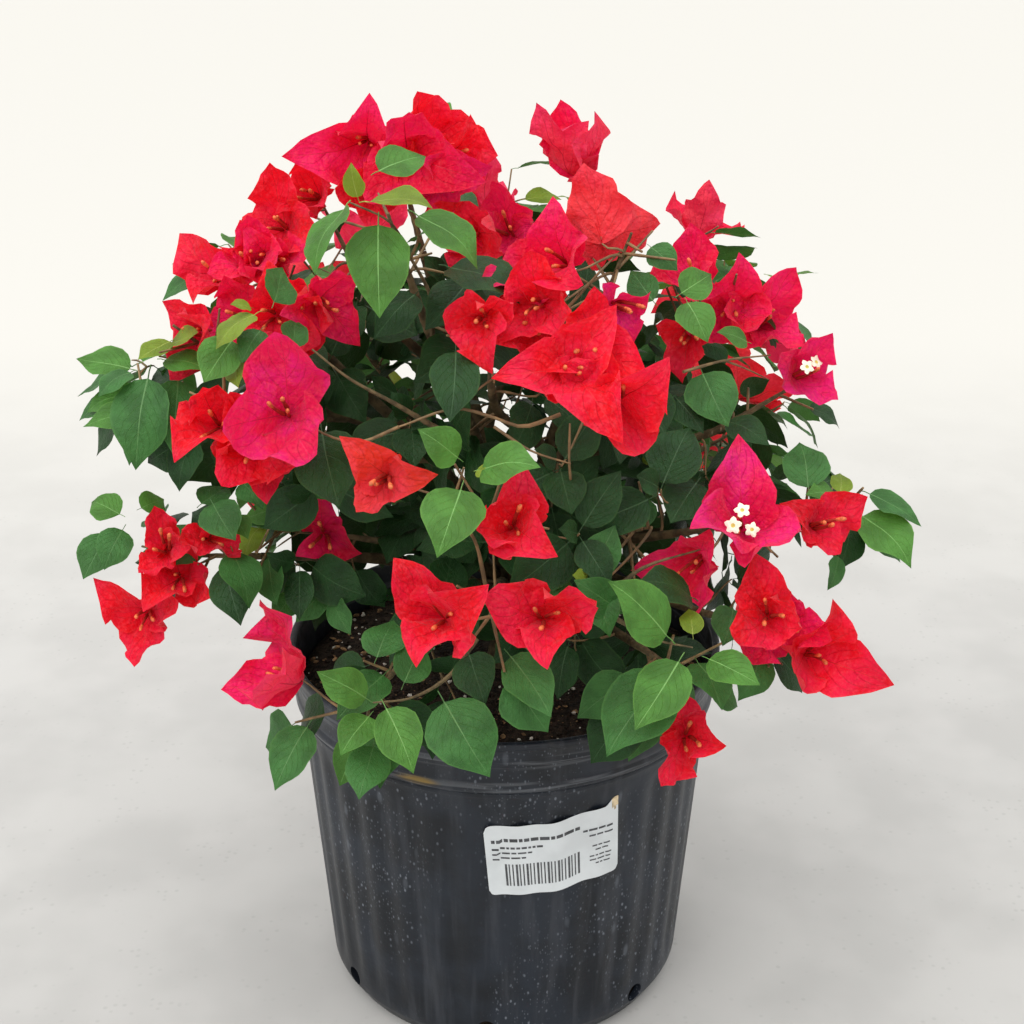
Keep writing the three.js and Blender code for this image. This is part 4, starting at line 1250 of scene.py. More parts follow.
def bract_material(name, colour):
    """Papery, paler at the margin: its pink patches are partly its own tone and partly painted sheen,
    and its lighter fine mottling and paler back are partly painted highlight.
    """
    material, wires, surface = new_material(name, 0.55, 0.15)
    red, green, blue = colour
    # Pink patches: partly the bract's own tone and partly painted sheen.
    pinker_and_sheen = (red, green + 0.008, blue * 2.2 + 0.03, 1.0)
    own = tint(colour, 0.95)
    shade = group_node(wires, drift_group, Colour=own, Other=pinker_and_sheen, Patches=42.0)
    veins, margin = group_node(wires, vein_group, Count=5.0, Slant=0.55, Width=0.07)
    lined = wires.mix(wires.times(veins, 0.25), shade, tint(colour, 0.62))
    lined = wires.mix(wires.times(margin, 0.15), lined, (0.9, 0.14, 0.12, 1.0))
    # Lighter fine mottling: partly the paper's own grain and partly painted highlight.
    grain = wires.noise(wires.place(), 420.0, 4.0)
    mottle_and_highlight = wires.times(wires.between(grain, 0.42, 0.7), 0.35)
    papery = wires.mix(mottle_and_highlight, lined, (0.97, 0.09, 0.125, 1.0))
    # The paler back: partly the bract's own paler back and partly painted highlight.
    shade = two_faced(wires, papery, wires.mix(0.16, papery, (0.97, 0.28, 0.30, 1.0)))
    height = relief(wires, 170.0, 380.0, 0.05)
    height = wires.math("SUBTRACT", height, wires.times(veins, 0.12))
    lay_on(wires, surface, shade, height, 0.9, 0.0035)
    surface["Sheen Weight"].default_value = 0.15
    surface["Sheen Roughness"].default_value = 0.4
    surface["Sheen Tint"].default_value = (1.0, 0.62, 0.68, 1.0)
    let_light_through(wires, 0.36, (clamp(red * 1.2, 0, 1), green * 1.6, blue * 1.4, 1.0))
    return material


def plain_material(name, colour, roughness=0.6, patches=150.0, spread=0.15, specular=0.4):
    """A finish whose colour drifts a little, with a fine relief."""
    material, wires, surface = new_material(name, roughness, specular)
    shade = drift(wires, colour, 1 - spread, 1 + spread, patches)
    lay_on(wires, surface, shade, relief(wires, patches * 3, patches * 3, 0.2), 0.3, 0.0003)
    return material


def mesh_from(name, places, faces, edges=()):
    mesh = bpy.data.meshes.new(name)
    mesh.from_pydata([tuple(map(float, place)) for place in places], edges, faces)
    mesh.update()
    return mesh


def link(name, mesh):
    thing = bpy.data.objects.new(name, mesh)
    bpy.context.scene.collection.objects.link(thing)
    return thing


def add_piece(name, mesh, slot, nodes, *materials):
    """A finished piece in its place, for the CAD nodes that it stands for."""
    for material in materials:
        mesh.materials.append(material)
    if not mesh.polygons:
        raise RuntimeError(f"{name} came out with no faces")
    piece = link(name, mesh)
    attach(piece, BODY)
    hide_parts(*nodes)


def evaluated(thing):
    """What an object's modifiers make of it, as a plain mesh. The object is taken away."""
    graph = bpy.context.evaluated_depsgraph_get()
    mesh = bpy.data.meshes.new_from_object(thing.evaluated_get(graph), depsgraph=graph)
    bpy.data.objects.remove(thing)
    return mesh


def run_tree(name, mesh, maker, **inputs):
    """The mesh that a geometry tree makes, with the tree's inputs given by their labels."""
    thing = link(name + "_marks", mesh)
    modifier = thing.modifiers.new("made", "NODES")
    modifier.node_group = group_from(maker)
    for item in modifier.node_group.interface.items_tree:
        label = item.name.lower().replace(" ", "_")
        if item.in_out == "INPUT" and label in inputs:
            modifier[item.identifier] = inputs[label]
    made = evaluated(thing)
    made.name = name
    return made


def named(wires, name, data_type="FLOAT"):
    inputs = {"Name": name}
    return wires.add("GeometryNodeInputNamedAttribute", inputs, data_type=data_type).outputs[0]


def spreading_tree():
    """Puts a pattern on every mark, turned and sized as the mark says, and makes it real."""
    inputs = [("Marks", GEOMETRY), ("Patterns", "NodeSocketCollection")]
    inputs += [("Main finish", FINISH), ("Second finish", FINISH)]
    outputs = [("Pieces", GEOMETRY)]
    tree, wires, given, made = new_tree("spread patterns", "GeometryNodeTree", inputs, outputs)
    shelf = {"Collection": given["Patterns"], "Separate Children": True, "Reset Children": True}
    patterns = wires.add("GeometryNodeCollectionInfo", shelf).outputs[0]
    turn = wires.add("FunctionNodeEulerToRotation", {0: named(wires, "turn", "FLOAT_VECTOR")})
    placing = {
        "Points": given["Marks"],
        "Instance": patterns,
        "Pick Instance": True,
        "Instance Index": named(wires, "pattern", "INT"),
        "Rotation": turn.outputs[0],
        "Scale": named(wires, "size"),
    }
    pieces = wires.add("GeometryNodeInstanceOnPoints", placing).outputs[0]
    pieces = wires.add("GeometryNodeRealizeInstances", {0: pieces}).outputs[0]
    second = named(wires, "second", "BOOLEAN")
    for where, finish in ((True, given["Main finish"]), (second, given["Second finish"])):
        pieces = wires.add("GeometryNodeSetMaterial", {0: pieces, 1: where, 2: finish}).outputs[0]
    tree.links.new(pieces, made["Pieces"])
    return tree


def limb_tree():
    """Clothes a line of points in a round skin, as thick as each point says, with relief."""
    inputs = [("Lines", GEOMETRY), ("Sides", "NodeSocketInt", 6), ("Relief", FLOAT, 0.0)]
    inputs += [("Ridges", FLOAT, 400.0), ("Finish", FINISH)]
    outputs = [("Limbs", GEOMETRY)]
    tree, wires, given, made = new_tree("clothe limbs", "GeometryNodeTree", inputs, outputs)
    line = wires.add("GeometryNodeMeshToCurve", {0: given["Lines"]}).outputs[0]
    circle = {"Resolution": given["Sides"], "Radius": 1.0}
    ring = wires.add("GeometryNodeCurvePrimitiveCircle", circle).outputs[0]
    section = {0: line, 1: ring, "Scale": named(wires, "thickness"), "Fill Caps": True}
    skin = wires.add("GeometryNodeCurveToMesh", section).outputs[0]
    place = wires.add("GeometryNodeInputPosition").outputs[0]
    level = wires.math("SUBTRACT", wires.noise(place, given["Ridges"], 3.0), 0.5)
    depth = wires.times(wires.times(level, given["Relief"]), 2.0)
    normal = wires.add("GeometryNodeInputNormal").outputs[0]
    offset = wires.add("ShaderNodeVectorMath", {0: normal, "Scale": depth}, operation="SCALE")
    skin = wires.add("GeometryNodeSetPosition", {0: skin, "Offset": offset.outputs[0]}).outputs[0]
    skin = wires.add("GeometryNodeSetShadeSmooth", {0: skin}).outputs[0]
    skin = wires.add("GeometryNodeRealizeInstances", {0: skin}).outputs[0]
    skin = wires.add("GeometryNodeSetMaterial", {0: skin, 2: given["Finish"]}).outputs[0]
    tree.links.new(skin, made["Limbs"])
    return tree


def mark_mesh(mesh, name, kind, domain, values):
    """Gives a mesh a named attribute, with a value for every point or face."""
    attribute = mesh.attributes.new(name, kind, domain)
    key = "vector" if kind == "FLOAT_VECTOR" else "value"
    attribute.data.foreach_set(key, values)


def spread(name, marks, shapes, main, second=None):
    """One mesh of many shapes. A mark is its place, its three axes, its size and its shape."""
    mesh = mesh_from(name, [mark[0] for mark in marks], [])
    turns = [Matrix(np.array(axes).T.tolist()).to_euler() for _, axes, _, _ in marks]
    turns = [angle for euler in turns for angle in euler]
    mark_mesh(mesh, "turn", "FLOAT_VECTOR", "POINT", turns)
    mark_mesh(mesh, "size", "FLOAT", "POINT", [mark[2] for mark in marks])
    mark_mesh(mesh, "pattern", "INT", "POINT", [mark[3] for mark in marks])
    shelf = bpy.data.collections.new(name + "_patterns")
    bpy.context.scene.collection.children.link(shelf)
    for shape in shapes:
        shelf.objects.link(bpy.data.objects.new(shape.name, shape))
    finishes = {"main_finish": main, "second_finish": second or main}
    made = run_tree(name, mesh, spreading_tree, patterns=shelf, **finishes)
    for thing in list(shelf.objects):
        bpy.data.objects.remove(thing)
    bpy.data.collections.remove(shelf)
    for attribute in ("second", "turn", "size", "pattern"):
        if attribute in made.attributes:
            made.attributes.remove(made.attributes[attribute])
    return made


def clothe(name, limbs, sides, skin, finish, step=6.0, knots=0.0, taper=0.0):
    """One mesh of many limbs, each a line of points that carries its thickness.

    The skin is the depth of its relief and how close its ridges are.
    """
    places, edges, thickness = [], [], []
    for limb in limbs:
        count = max(3, math.ceil(limb.length / step))
        shares = np.linspace(0, 1, count + 1)
        first = len(places)
        places.extend(limb.places(shares) * MM)
        knot = 1 - taper * shares + knots * np.sin(shares * limb.length * 0.42) ** 6
        thickness.extend(limb.radius(shares) * knot * MM)
        edges.extend((first + k, first + k + 1) for k in range(count))
    mesh = mesh_from(name, places, [], edges)
    mark_mesh(mesh, "thickness", "FLOAT", "POINT", thickness)
    relief_depth, ridges = skin
    values = {"relief": relief_depth, "ridges": ridges, "finish": finish}
    return run_tree(name, mesh, limb_tree, sides=sides, **values)


def waves(chance, count, fine):
    """A soft uneven field over a blade, made of a few waves."""
    parts = [
        (between((-fine, fine), chance), between((-fine, fine), chance), 6.3 * chance())
        for _ in range(count)
    ]
    return lambda x, y: sum(math.sin(a * x + b * y + c) for a, b, c in parts) / count


# The outline of a blade: shares of its length, and half its width at each
LEAF_OUTLINE = (
    (0, 0.03, 0.08, 0.16, 0.28, 0.42, 0.56, 0.7, 0.82, 0.91, 0.96, 1),
    (0, 0.13, 0.22, 0.3, 0.355, 0.368, 0.34, 0.265, 0.155, 0.07, 0.03, 0),
)
BRACT_OUTLINE = (
    (0, 0.05, 0.12, 0.22, 0.34, 0.48, 0.62, 0.76, 0.87, 0.95, 1),
    (0.06, 0.23, 0.35, 0.43, 0.465, 0.455, 0.4, 0.295, 0.165, 0.06, 0),
)


def blade_surface(chance, outline, rows, columns, rib, form):
    """Gives the place on a blade for a row and a share from its left edge to its right."""
    field = waves(chance, 4, form["fine"])
    fold, arch, twist, curl, belly, wide = (between(form[key], chance) for key in BLADE_DRAWS)
    ruffles = [(between(form["ruffles"], chance), 6.3 * chance()) for _ in range(2)]
    bend = between((-0.06, 0.06), chance)

    def surface(i, c):
        s = rows[i]
        y = s + form["slant"] * abs(c) * min(1, s * 6) * (1 - s)
        often, phase = ruffles[c > 0]
        x = c * wide * np.interp(y, *outline)
        x *= 1 + form["wavy"] * abs(c) * math.sin(often * 1.6 * y + phase + 1)
        ruffle = form["ruffle"] * c * c * math.sin(often * y + phase) * math.sin(math.pi * y)
        if abs(c) == columns[0]:
            x, y = math.copysign(rib * (1.15 - s), c), s
        if i == len(rows) - 1:
            x = 0.0
        proud = form["veins"] * (1 if i % 2 else -1) * min(1, abs(c) * 2) * (1 - abs(c) * 0.6)
        z = fold * (1 - 0.5 * y) * abs(x) - arch * y * y + belly * math.sin(math.pi * y)
        z += form["cup"] * x * x + proud + ruffle
        z += form["crinkle"] * field(x, y) * min(1, y * 3)
        z += curl * max(0, y - 0.62) ** 2
        cos, sin = math.cos(twist * y), math.sin(twist * y)
        return x * cos - z * sin + bend * y * y, y, x * sin + z * cos

    return surface


def add_stalk(places, faces, rib, foot):
    """A three-sided stalk from the origin to the foot of a leaf."""
    first = len(places)
    thick = rib * 1.1
    for y, z in ((0, 0), (foot * 0.5, 0.012), (foot * 1.04, 0.002)):
        for k in range(3):
            angle = math.radians(90 + 120 * k)
            places.append((thick * math.cos(angle), y, z + thick * math.sin(angle) - thick / 2))
    for ring in (first, first + 3):
        for k in range(3):
            n = (k + 1) % 3
            faces.append((ring + k, ring + k + 3, ring + n + 3, ring + n))


def blade_pattern(name, seed, outline, rows, columns, rib, foot, form):
    """A leaf or bract one unit long, root at the origin, tip along Y and face along Z.

    Rows slant forward as the side veins do, and every other row stands proud. A strip of faces
    down the middle is the rib, which is marked to take the second finish.
    """
    surface = blade_surface(seeded(seed), outline, rows, columns, rib, form)
    shares = [*(-c for c in reversed(columns)), *columns]
    places, faces, spots = [], [], []
    for i in range(len(rows)):
        for c in shares:
            x, y, z = surface(i, c)
            places.append((x, foot + y * (1 - foot), z))
            spots.append((0.5 + 0.5 * c, y))
    width = len(shares)
    for i in range(len(rows) - 1):
        for j in range(width - 1):
            a, b = i * width + j, i * width + j + 1
            faces.append((a, b, b + width, a + width))
    second = [k % (width - 1) == width // 2 - 1 for k in range(len(faces))]
    if foot:
        add_stalk(places, faces, rib, foot)
        spots += [(0.5, 0.0)] * (len(places) - len(spots))
        second += [True] * (len(faces) - len(second))
    mesh = mesh_from(name, places, faces)
    mark_mesh(mesh, "second", "BOOLEAN", "FACE", second)
    chart = mesh.uv_layers.new(name="blade")
    for loop in mesh.loops:
        chart.data[loop.index].uv = spots[loop.vertex_index]
    tidy = bmesh.new()
    tidy.from_mesh(mesh)
    bmesh.ops.remove_doubles(tidy, verts=tidy.verts, dist=1e-5)
    bmesh.ops.dissolve_degenerate(tidy, edges=tidy.edges, dist=1e-6)
    tidy.to_mesh(mesh)
    tidy.free()
    mesh.shade_smooth()
    return mesh


# How a blade is shaped: what is drawn for it, in that order, its rows along its length, and its
# form, where a pair is the least and the most of a draw
BLADE_DRAWS = ("fold", "arch", "twist", "curl", "belly", "wide")
LEAF_ROWS = (0, 0.02, 0.06, 0.13, 0.23, 0.35, 0.48, 0.6, 0.71, 0.81, 0.9, 1)
LEAF_FORM = {"fold": (0.08, 0.45), "arch": (0.02, 0.2), "twist": (-0.25, 0.25)}
LEAF_FORM |= {"curl": (-0.5, 0.2), "belly": (0.0, 0.05), "wide": (0.74, 1.02), "ruffles": (5, 11)}
LEAF_FORM |= {"ruffle": 0.035, "wavy": 0.03, "slant": 0.2, "veins": 0.006, "cup": -0.25}
LEAF_FORM |= {"fine": 7, "crinkle": 0.035}
BRACT_ROWS = (0, 0.05, 0.12, 0.2, 0.3, 0.4, 0.5, 0.6, 0.7, 0.8, 0.9, 1)
BRACT_COLUMNS = (0.02, 0.24, 0.48, 0.74, 1)
BRACT_FORM = {"fold": (0.1, 0.55), "arch": (-0.3, 0.22), "twist": (-0.35, 0.35)}
BRACT_FORM |= {"curl": (-3.0, 1.2), "belly": (-0.12, 0.1), "wide": (0.72, 1.0), "ruffles": (8, 16)}
BRACT_FORM |= {"ruffle": 0.13, "wavy": 0.08, "slant": 0.16, "veins": 0.009, "cup": 0.5}
BRACT_FORM |= {"fine": 15, "crinkle": 0.08}
# What blade_pattern takes after its name and seed: outline, rows, columns, rib, foot and form
LEAF_SHAPE = (LEAF_OUTLINE, LEAF_ROWS, (0.02, 0.5, 1), 0.0075, 0.14, LEAF_FORM)
BRACT_SHAPE = (BRACT_OUTLINE, BRACT_ROWS, BRACT_COLUMNS, 0.008, 0, BRACT_FORM)
LEAF_PATTERNS, BRACT_PATTERNS = 8, 9


def patterns(count, maker, kind, *shape):
    """So many patterns of a kind, each from a seed of its own."""
    return [maker(f"{kind}_{k}", SEEDS[kind] + k, *shape) for k in range(count)]


def lathe(rings, columns, shape):
    """A closed turned shape: shape gives each ring's radius at an angle. Poles are one point."""
    places, faces, starts = [], [], []
    for ring in rings:
        starts.append(len(places))
        if ring[0] < 1e-6:
            places.append((0, 0, ring[1] * MM))
            continue
        for k in range(columns):
            angle = 2 * math.pi * k / columns
            radius = shape(ring, angle) * MM
            places.append((radius * math.cos(angle), radius * math.sin(angle), ring[1] * MM))
    for n in range(len(rings) - 1):
        low, high = starts[n], starts[n + 1]
        for k in range(columns):
            m = (k + 1) % columns
            if rings[n][0] < 1e-6:
                faces.append((low, high + m, high + k))
            elif rings[n + 1][0] < 1e-6:
                faces.append((low + k, low + m, high))
            else:
                faces.append((low + k, low + m, high + m, high + k))
    return places, faces


# The taper of the wall: its radius at a low height, and how far it spreads over its rise
WALL = {"foot": 119, "low": 12, "rise": 190, "spread": 14.5}


def wall_radius(height):
    """The outer radius of the pot's tapered wall, between its foot and the bead."""
    return WALL["foot"] + (height - WALL["low"]) / WALL["rise"] * WALL["spread"]


def pot_rings():
    """The pot's section from its underside round the lip to its floor: radius, height, flute."""
    foot = [(0, 0, 0), (50, 0, 0), (100, 0, 0), (110.8, 0, 0), (112, 0.6, 0), (112.8, 1.8, 0)]
    foot += [(118.2, 10.6, 0), (119, 12.6, 0)]
    wall = []
    for height in (18, 24, 30, 36, 60, 85, 110, 135, 160, 180, 186, 191, 196):
        share = clamp((height - 20) / 14, 0, 1) * clamp((196 - height) / 12, 0, 1)
        wall.append((wall_radius(height), height, share))
    line = [(133.3, 199.6, 0), (133.9, 200.4, 0), (134.1, 201.6, 0), (133.6, 202.6, 0)]
    bead = [(134.4, 204), (136, 205.2), (136.8, 207), (136.8, 209), (136.1, 210.6), (135.3, 211.6)]
    band = [(135.2, 213.5), (136.2, 221), (136.6, 224.2), (137.2, 225), (137.3, 226.4)]
    band += [(136.9, 227.4), (137.9, 234.8), (138.6, 235.8)]
    lip = [(139.4, 236), (140, 236.8), (140, 238.8), (139.5, 239.7), (138.7, 240), (136.2, 240)]
    lip += [(135.4, 239.7), (135, 239)]
    inner = [(inner_radius(height), height) for height in (236, 231, 226, 220, 214, 205, 12)]
    floor = [(113, 4), (60, 4), (0, 4)]
    plain = [(*ring, 0) for ring in bead + band + lip + inner + floor]
    return [*foot, *wall, *line, *plain]


# The drain holes: how many, how far round the first one is from the front, and their sizes
DRAIN = {"count": 7, "first": -57, "radius": 6.5, "height": 17, "length": 16}


def drain_cutters():
    """Round rods through the wall, where its drain holes are."""
    tool = bmesh.new()
    for k in range(DRAIN["count"]):
        angle = math.radians(DRAIN["first"] + 360 / DRAIN["count"] * k - 90)
        place = Matrix.Rotation(angle, 4, "Z") @ Matrix.Translation(
            (wall_radius(DRAIN["height"]) * MM, 0, DRAIN["height"] * MM)
        )
        bmesh.ops.create_cone(
            tool,
            cap_ends=True,
            segments=28,
            radius1=DRAIN["radius"] * MM,
            radius2=DRAIN["radius"] * MM,
            depth=DRAIN["length"] * MM,
            matrix=place @ Matrix.Rotation(math.pi / 2, 4, "Y"),
        )
    mesh = bpy.data.meshes.new("drain_rods")
    tool.to_mesh(mesh)
    tool.free()
    return mesh


# The finish of the wall: its colours, its two rubbed ledges with their painted highlight and its dusty
# lip, and a stain
POT_FINISH = {"runs": (0.055, 0.060, 0.072, 1.0), "specks": (0.20, 0.225, 0.265, 1.0)}
POT_FINISH |= {"scuffs_and_highlight": (0.13, 0.14, 0.155, 1.0), "dust": (0.095, 0.092, 0.088, 1.0)}
POT_FINISH |= {"stain": (0.27, 0.17, 0.03, 1.0)}
LEDGES = (0.208, 0.2255)
DUSTY_LIP = (0.226, 0.2395)
STAIN = {"place": (-0.052, -0.1265, 0.2085), "fade": (60.0, 60.0, 300.0)}


def runs_and_specks(wires, place, colour):
    """The plastic's colour with pale runs down the wall and mineral specks of three sizes."""
    tall = wires.vector("MULTIPLY", place, (110.0, 110.0, 6.0))[0]
    runs = wires.noise(tall, 1.0, 5.0)
    pale = wires.times(wires.between(runs, 0.5, 0.72), 0.4)
    shade = wires.mix(pale, drift(wires, colour, 0.7, 1.7, 26.0), POT_FINISH["runs"])
    fine = wires.times(specks(wires, 640.0, 0.42, 0.5), 0.6)
    blots = wires.times(specks(wires, 130.0, 0.14, 0.4), 0.45)
    marks = wires.math("MAXIMUM", fine, specks(wires, 340.0, 0.34, 0.6))
    marks = wires.times(wires.math("MAXIMUM", marks, blots), 0.6)
    return runs, wires.mix(marks, shade, POT_FINISH["specks"])


def edge_gap(wires, height):
    """How far a height is from the nearest of the wall's ledges, which rub against things and are
    painted lighter, partly as scuff marks and partly as a painted highlight.
    """
    ledges = [wires.math("ABSOLUTE", wires.math("SUBTRACT", height, z)) for z in LEDGES]
    return wires.math("MINIMUM", *ledges)


def stain(wires, place, rubbed):
    """How strong the rusty stain on the bead is at a place."""
    off = wires.vector("SUBTRACT", place, STAIN["place"])[0]
    off = wires.vector("MULTIPLY", off, STAIN["fade"])[0]
    spot = wires.rest(wires.between(wires.vector("LENGTH", off)["Value"], 0.3, 1.05))
    spot = wires.times(spot, wires.math("MULTIPLY_ADD", rubbed, 0.7, 0.25))
    return wires.math("MINIMUM", spot, 0.85)


def pot_material(colour):
    """Moulded plastic that has stood outdoors: runs, specks, ledges that are rubbed and carry a
    painted highlight, dust and a stain.
    """
    material, wires, surface = new_material("moulded_wall", 0.45, 0.38)
    place = wires.place()
    height = wires.axes(place)[2]
    runs, marked = runs_and_specks(wires, place, colour)
    long = wires.vector("MULTIPLY", place, (16.0, 16.0, 420.0))[0]
    rubbed = wires.between(wires.noise(long, 1.0, 4.0), 0.46, 0.62)
    # The ledges are painted lighter: partly scuff marks, partly a painted highlight along their edges.
    beads = wires.rest(wires.between(edge_gap(wires, height), 0.001, 0.006))
    rubbed_and_lit_ledges = wires.times(wires.times(beads, rubbed), 0.6)
    scuffed_and_lit = wires.mix(rubbed_and_lit_ledges, marked, POT_FINISH["scuffs_and_highlight"])
    smear = wires.between(wires.noise(place, 55.0, 6.0), 0.45, 0.66)
    dusty = wires.times(wires.times(wires.between(height, *DUSTY_LIP), smear), 0.5)
    dirty = wires.mix(dusty, scuffed_and_lit, POT_FINISH["dust"])
    stained = wires.mix(stain(wires, place, rubbed), dirty, POT_FINISH["stain"])
    lay_on(wires, surface, stained, relief(wires, 230.0, 90.0, 0.06), 0.35, 0.0005)
    roughness = wires.math("MULTIPLY_ADD", runs, 0.3, 0.26)
    wires.tree.links.new(wires.math("ADD", roughness, dusty), surface["Roughness"])
    return material


def soil_material(colour):
    material, wires, surface = new_material("potting_mix", 0.95, 0.2)
    shade = drift(wires, colour, 0.5, 1.8, 240.0)
    marked = wires.mix(specks(wires, 420.0, 0.25), shade, (0.20, 0.12, 0.06, 1.0))
    lay_on(wires, surface, marked, relief(wires, 420.0, 300.0, 0.5), 0.9, 0.0015)
    return material


def lump_pattern(name, seed, squash, jag):
    """A rough lump about one unit across."""
    chance = seeded(seed)
    tool = bmesh.new()
    bmesh.ops.create_icosphere(tool, subdivisions=1, radius=0.5)
    for corner in tool.verts:
        corner.co *= 1 + jag * (chance() - 0.5)
        corner.co.z *= squash
        corner.co.y *= 0.55 + squash * 0.45
    mesh = bpy.data.meshes.new(name)
    tool.to_mesh(mesh)
    tool.free()
    return mesh


class MakePot(bpy.types.Operator):
    """Turns the fluted pot with its bead and lip, and drills its drain holes"""

    bl_idname = "bush.make_pot"
    bl_label = "Pot"

    def execute(self, context):
        sizes = context.scene.bush_pot
        depth = sizes.flute_depth / MM

        def shape(ring, angle):
            groove = (0.5 - 0.5 * math.cos(sizes.flutes * angle)) ** 1.3
            return ring[0] - ring[2] * depth * groove

        places, faces = lathe(pot_rings(), sizes.flutes * 8, shape)
        body = link("pot_body", mesh_from("pot_body", places, faces))
        rods = link("drain_rods", drain_cutters())
        cut = body.modifiers.new("holes", "BOOLEAN")
        cut.object, cut.operation, cut.solver = rods, "DIFFERENCE", "EXACT"
        mesh = evaluated(body)
        bpy.data.objects.remove(rods)
        mesh.shade_smooth()
        mesh.set_sharp_from_angle(angle=math.radians(50))
        add_piece("pot_wall", mesh, "pot", ["pot"], pot_material(sizes.wall_colour))
        return {"FINISHED"}


# The mix: where it meets the wall and with what gap, how far it sinks there from its crown, and
# past what share of the way out, its base and the rings of its top
SOIL = {"edge_height": 214, "gap": 0.6, "sink": 8, "flat": 0.3, "base": 4.3, "rings": 36}
# What lies on the mix: its finish as plain_material takes it, then its sizes
CRUMB = (0.95, 400.0, 0.5, 0.2)
CHIP = ((0.26, 0.15, 0.07), 0.8, 300.0, 0.5, 0.3)
GRAIN = ((0.66, 0.62, 0.54), 0.7, 300.0, 0.2, 0.3)
STREWN = {"crumbs": (1.8, 5.0), "chips": (3.0, 7.5), "grains": (1.3, 4.8)}


class FillPot(bpy.types.Operator):
    """Fills the pot with potting mix, and strews crumbs, chips and white grains over it"""

    bl_idname = "bush.fill_pot"
    bl_label = "Potting mix"

    def top(self, radius, angle):
        """The height of the mix: flat round the trunk, sunk towards the wall, uneven all over."""
        share = radius / self.edge
        x, y = radius * math.cos(angle), radius * math.sin(angle)
        sunk = max(0, (share - SOIL["flat"]) / (1 - SOIL["flat"])) ** 1.5
        uneven = 1.3 * self.coarse(x, y) + 0.8 * self.fine(x, y)
        return SOIL_CROWN - SOIL["sink"] * sunk + uneven * min(1, (1 - share) * 12)

    def pour(self, colour):
        """Turns the body of the mix and raises its top to the height that it has there."""
        base, edge, count, level = SOIL["base"], self.edge, SOIL["rings"], SOIL["edge_height"]
        low = inner_radius(base) - SOIL["gap"]
        rings = [(0, base), (60, base), (low, base), (edge - 9.4, 110), (edge, level - 1)]
        rings += [(edge * (1 - k / count), level + k) for k in range(1, count)]
        places, faces = lathe([*rings, (0, SOIL_CROWN)], 120, lambda ring, angle: ring[0])
        for k, (x, y, z) in enumerate(places):
            if z > (level - 0.5) * MM:
                height = self.top(math.hypot(x, y) / MM, math.atan2(y, x))
                places[k] = (x, y, height * MM)
        mesh = mesh_from("potting_mix", places, faces)
        mesh.shade_smooth()
        add_piece("potting_mix", mesh, "soil", ["soil"], soil_material(colour))

    def strew(self, kind, count, shapes, material):
        """Drops so many lumps of a kind on the mix, evenly but for a bare middle."""
        chance, marks = self.chance, []
        for _ in range(count):
            radius = self.edge * 0.985 * math.sqrt(between((0.08, 1), chance))
            angle = 6.2832 * chance()
            size = between(STREWN[kind], chance) * (0.6 + 0.4 * chance())
            up = unit(np.array([chance() - 0.5, chance() - 0.5, 1.6]))
            side = around(up, np.array([1.0, 0, 0]), 360 * chance())
            height = self.top(radius, angle) + size * 0.12
            place = np.array([radius * math.cos(angle), radius * math.sin(angle), height])
            axes = (side, np.cross(up, side), up)
            marks.append((place * MM, axes, size * MM, int(chance() * len(shapes))))
        name = "mix_" + kind
        add_piece(name, spread(name, marks, shapes, material), "soil", ["soil"])

    def execute(self, context):
        sizes = context.scene.bush_pot
        self.chance = seeded(SEEDS["mix"])
        self.coarse, self.fine = waves(self.chance, 7, 0.16), waves(self.chance, 7, 0.6)
        self.edge = inner_radius(SOIL["edge_height"]) - SOIL["gap"]
        self.pour(sizes.mix_colour)
        lumps = patterns(3, lump_pattern, "lump", 0.7, 0.6)
        slips = patterns(3, lump_pattern, "slip", 0.28, 0.5)
        crumb = plain_material("crumb", sizes.mix_colour, *CRUMB)
        self.strew("crumbs", sizes.crumbs, lumps, crumb)
        self.strew("chips", sizes.chips, slips, plain_material("bark_chip", *CHIP))
        self.strew("grains", sizes.grains, lumps, plain_material("white_grain", *GRAIN))
        return {"FINISHED"}


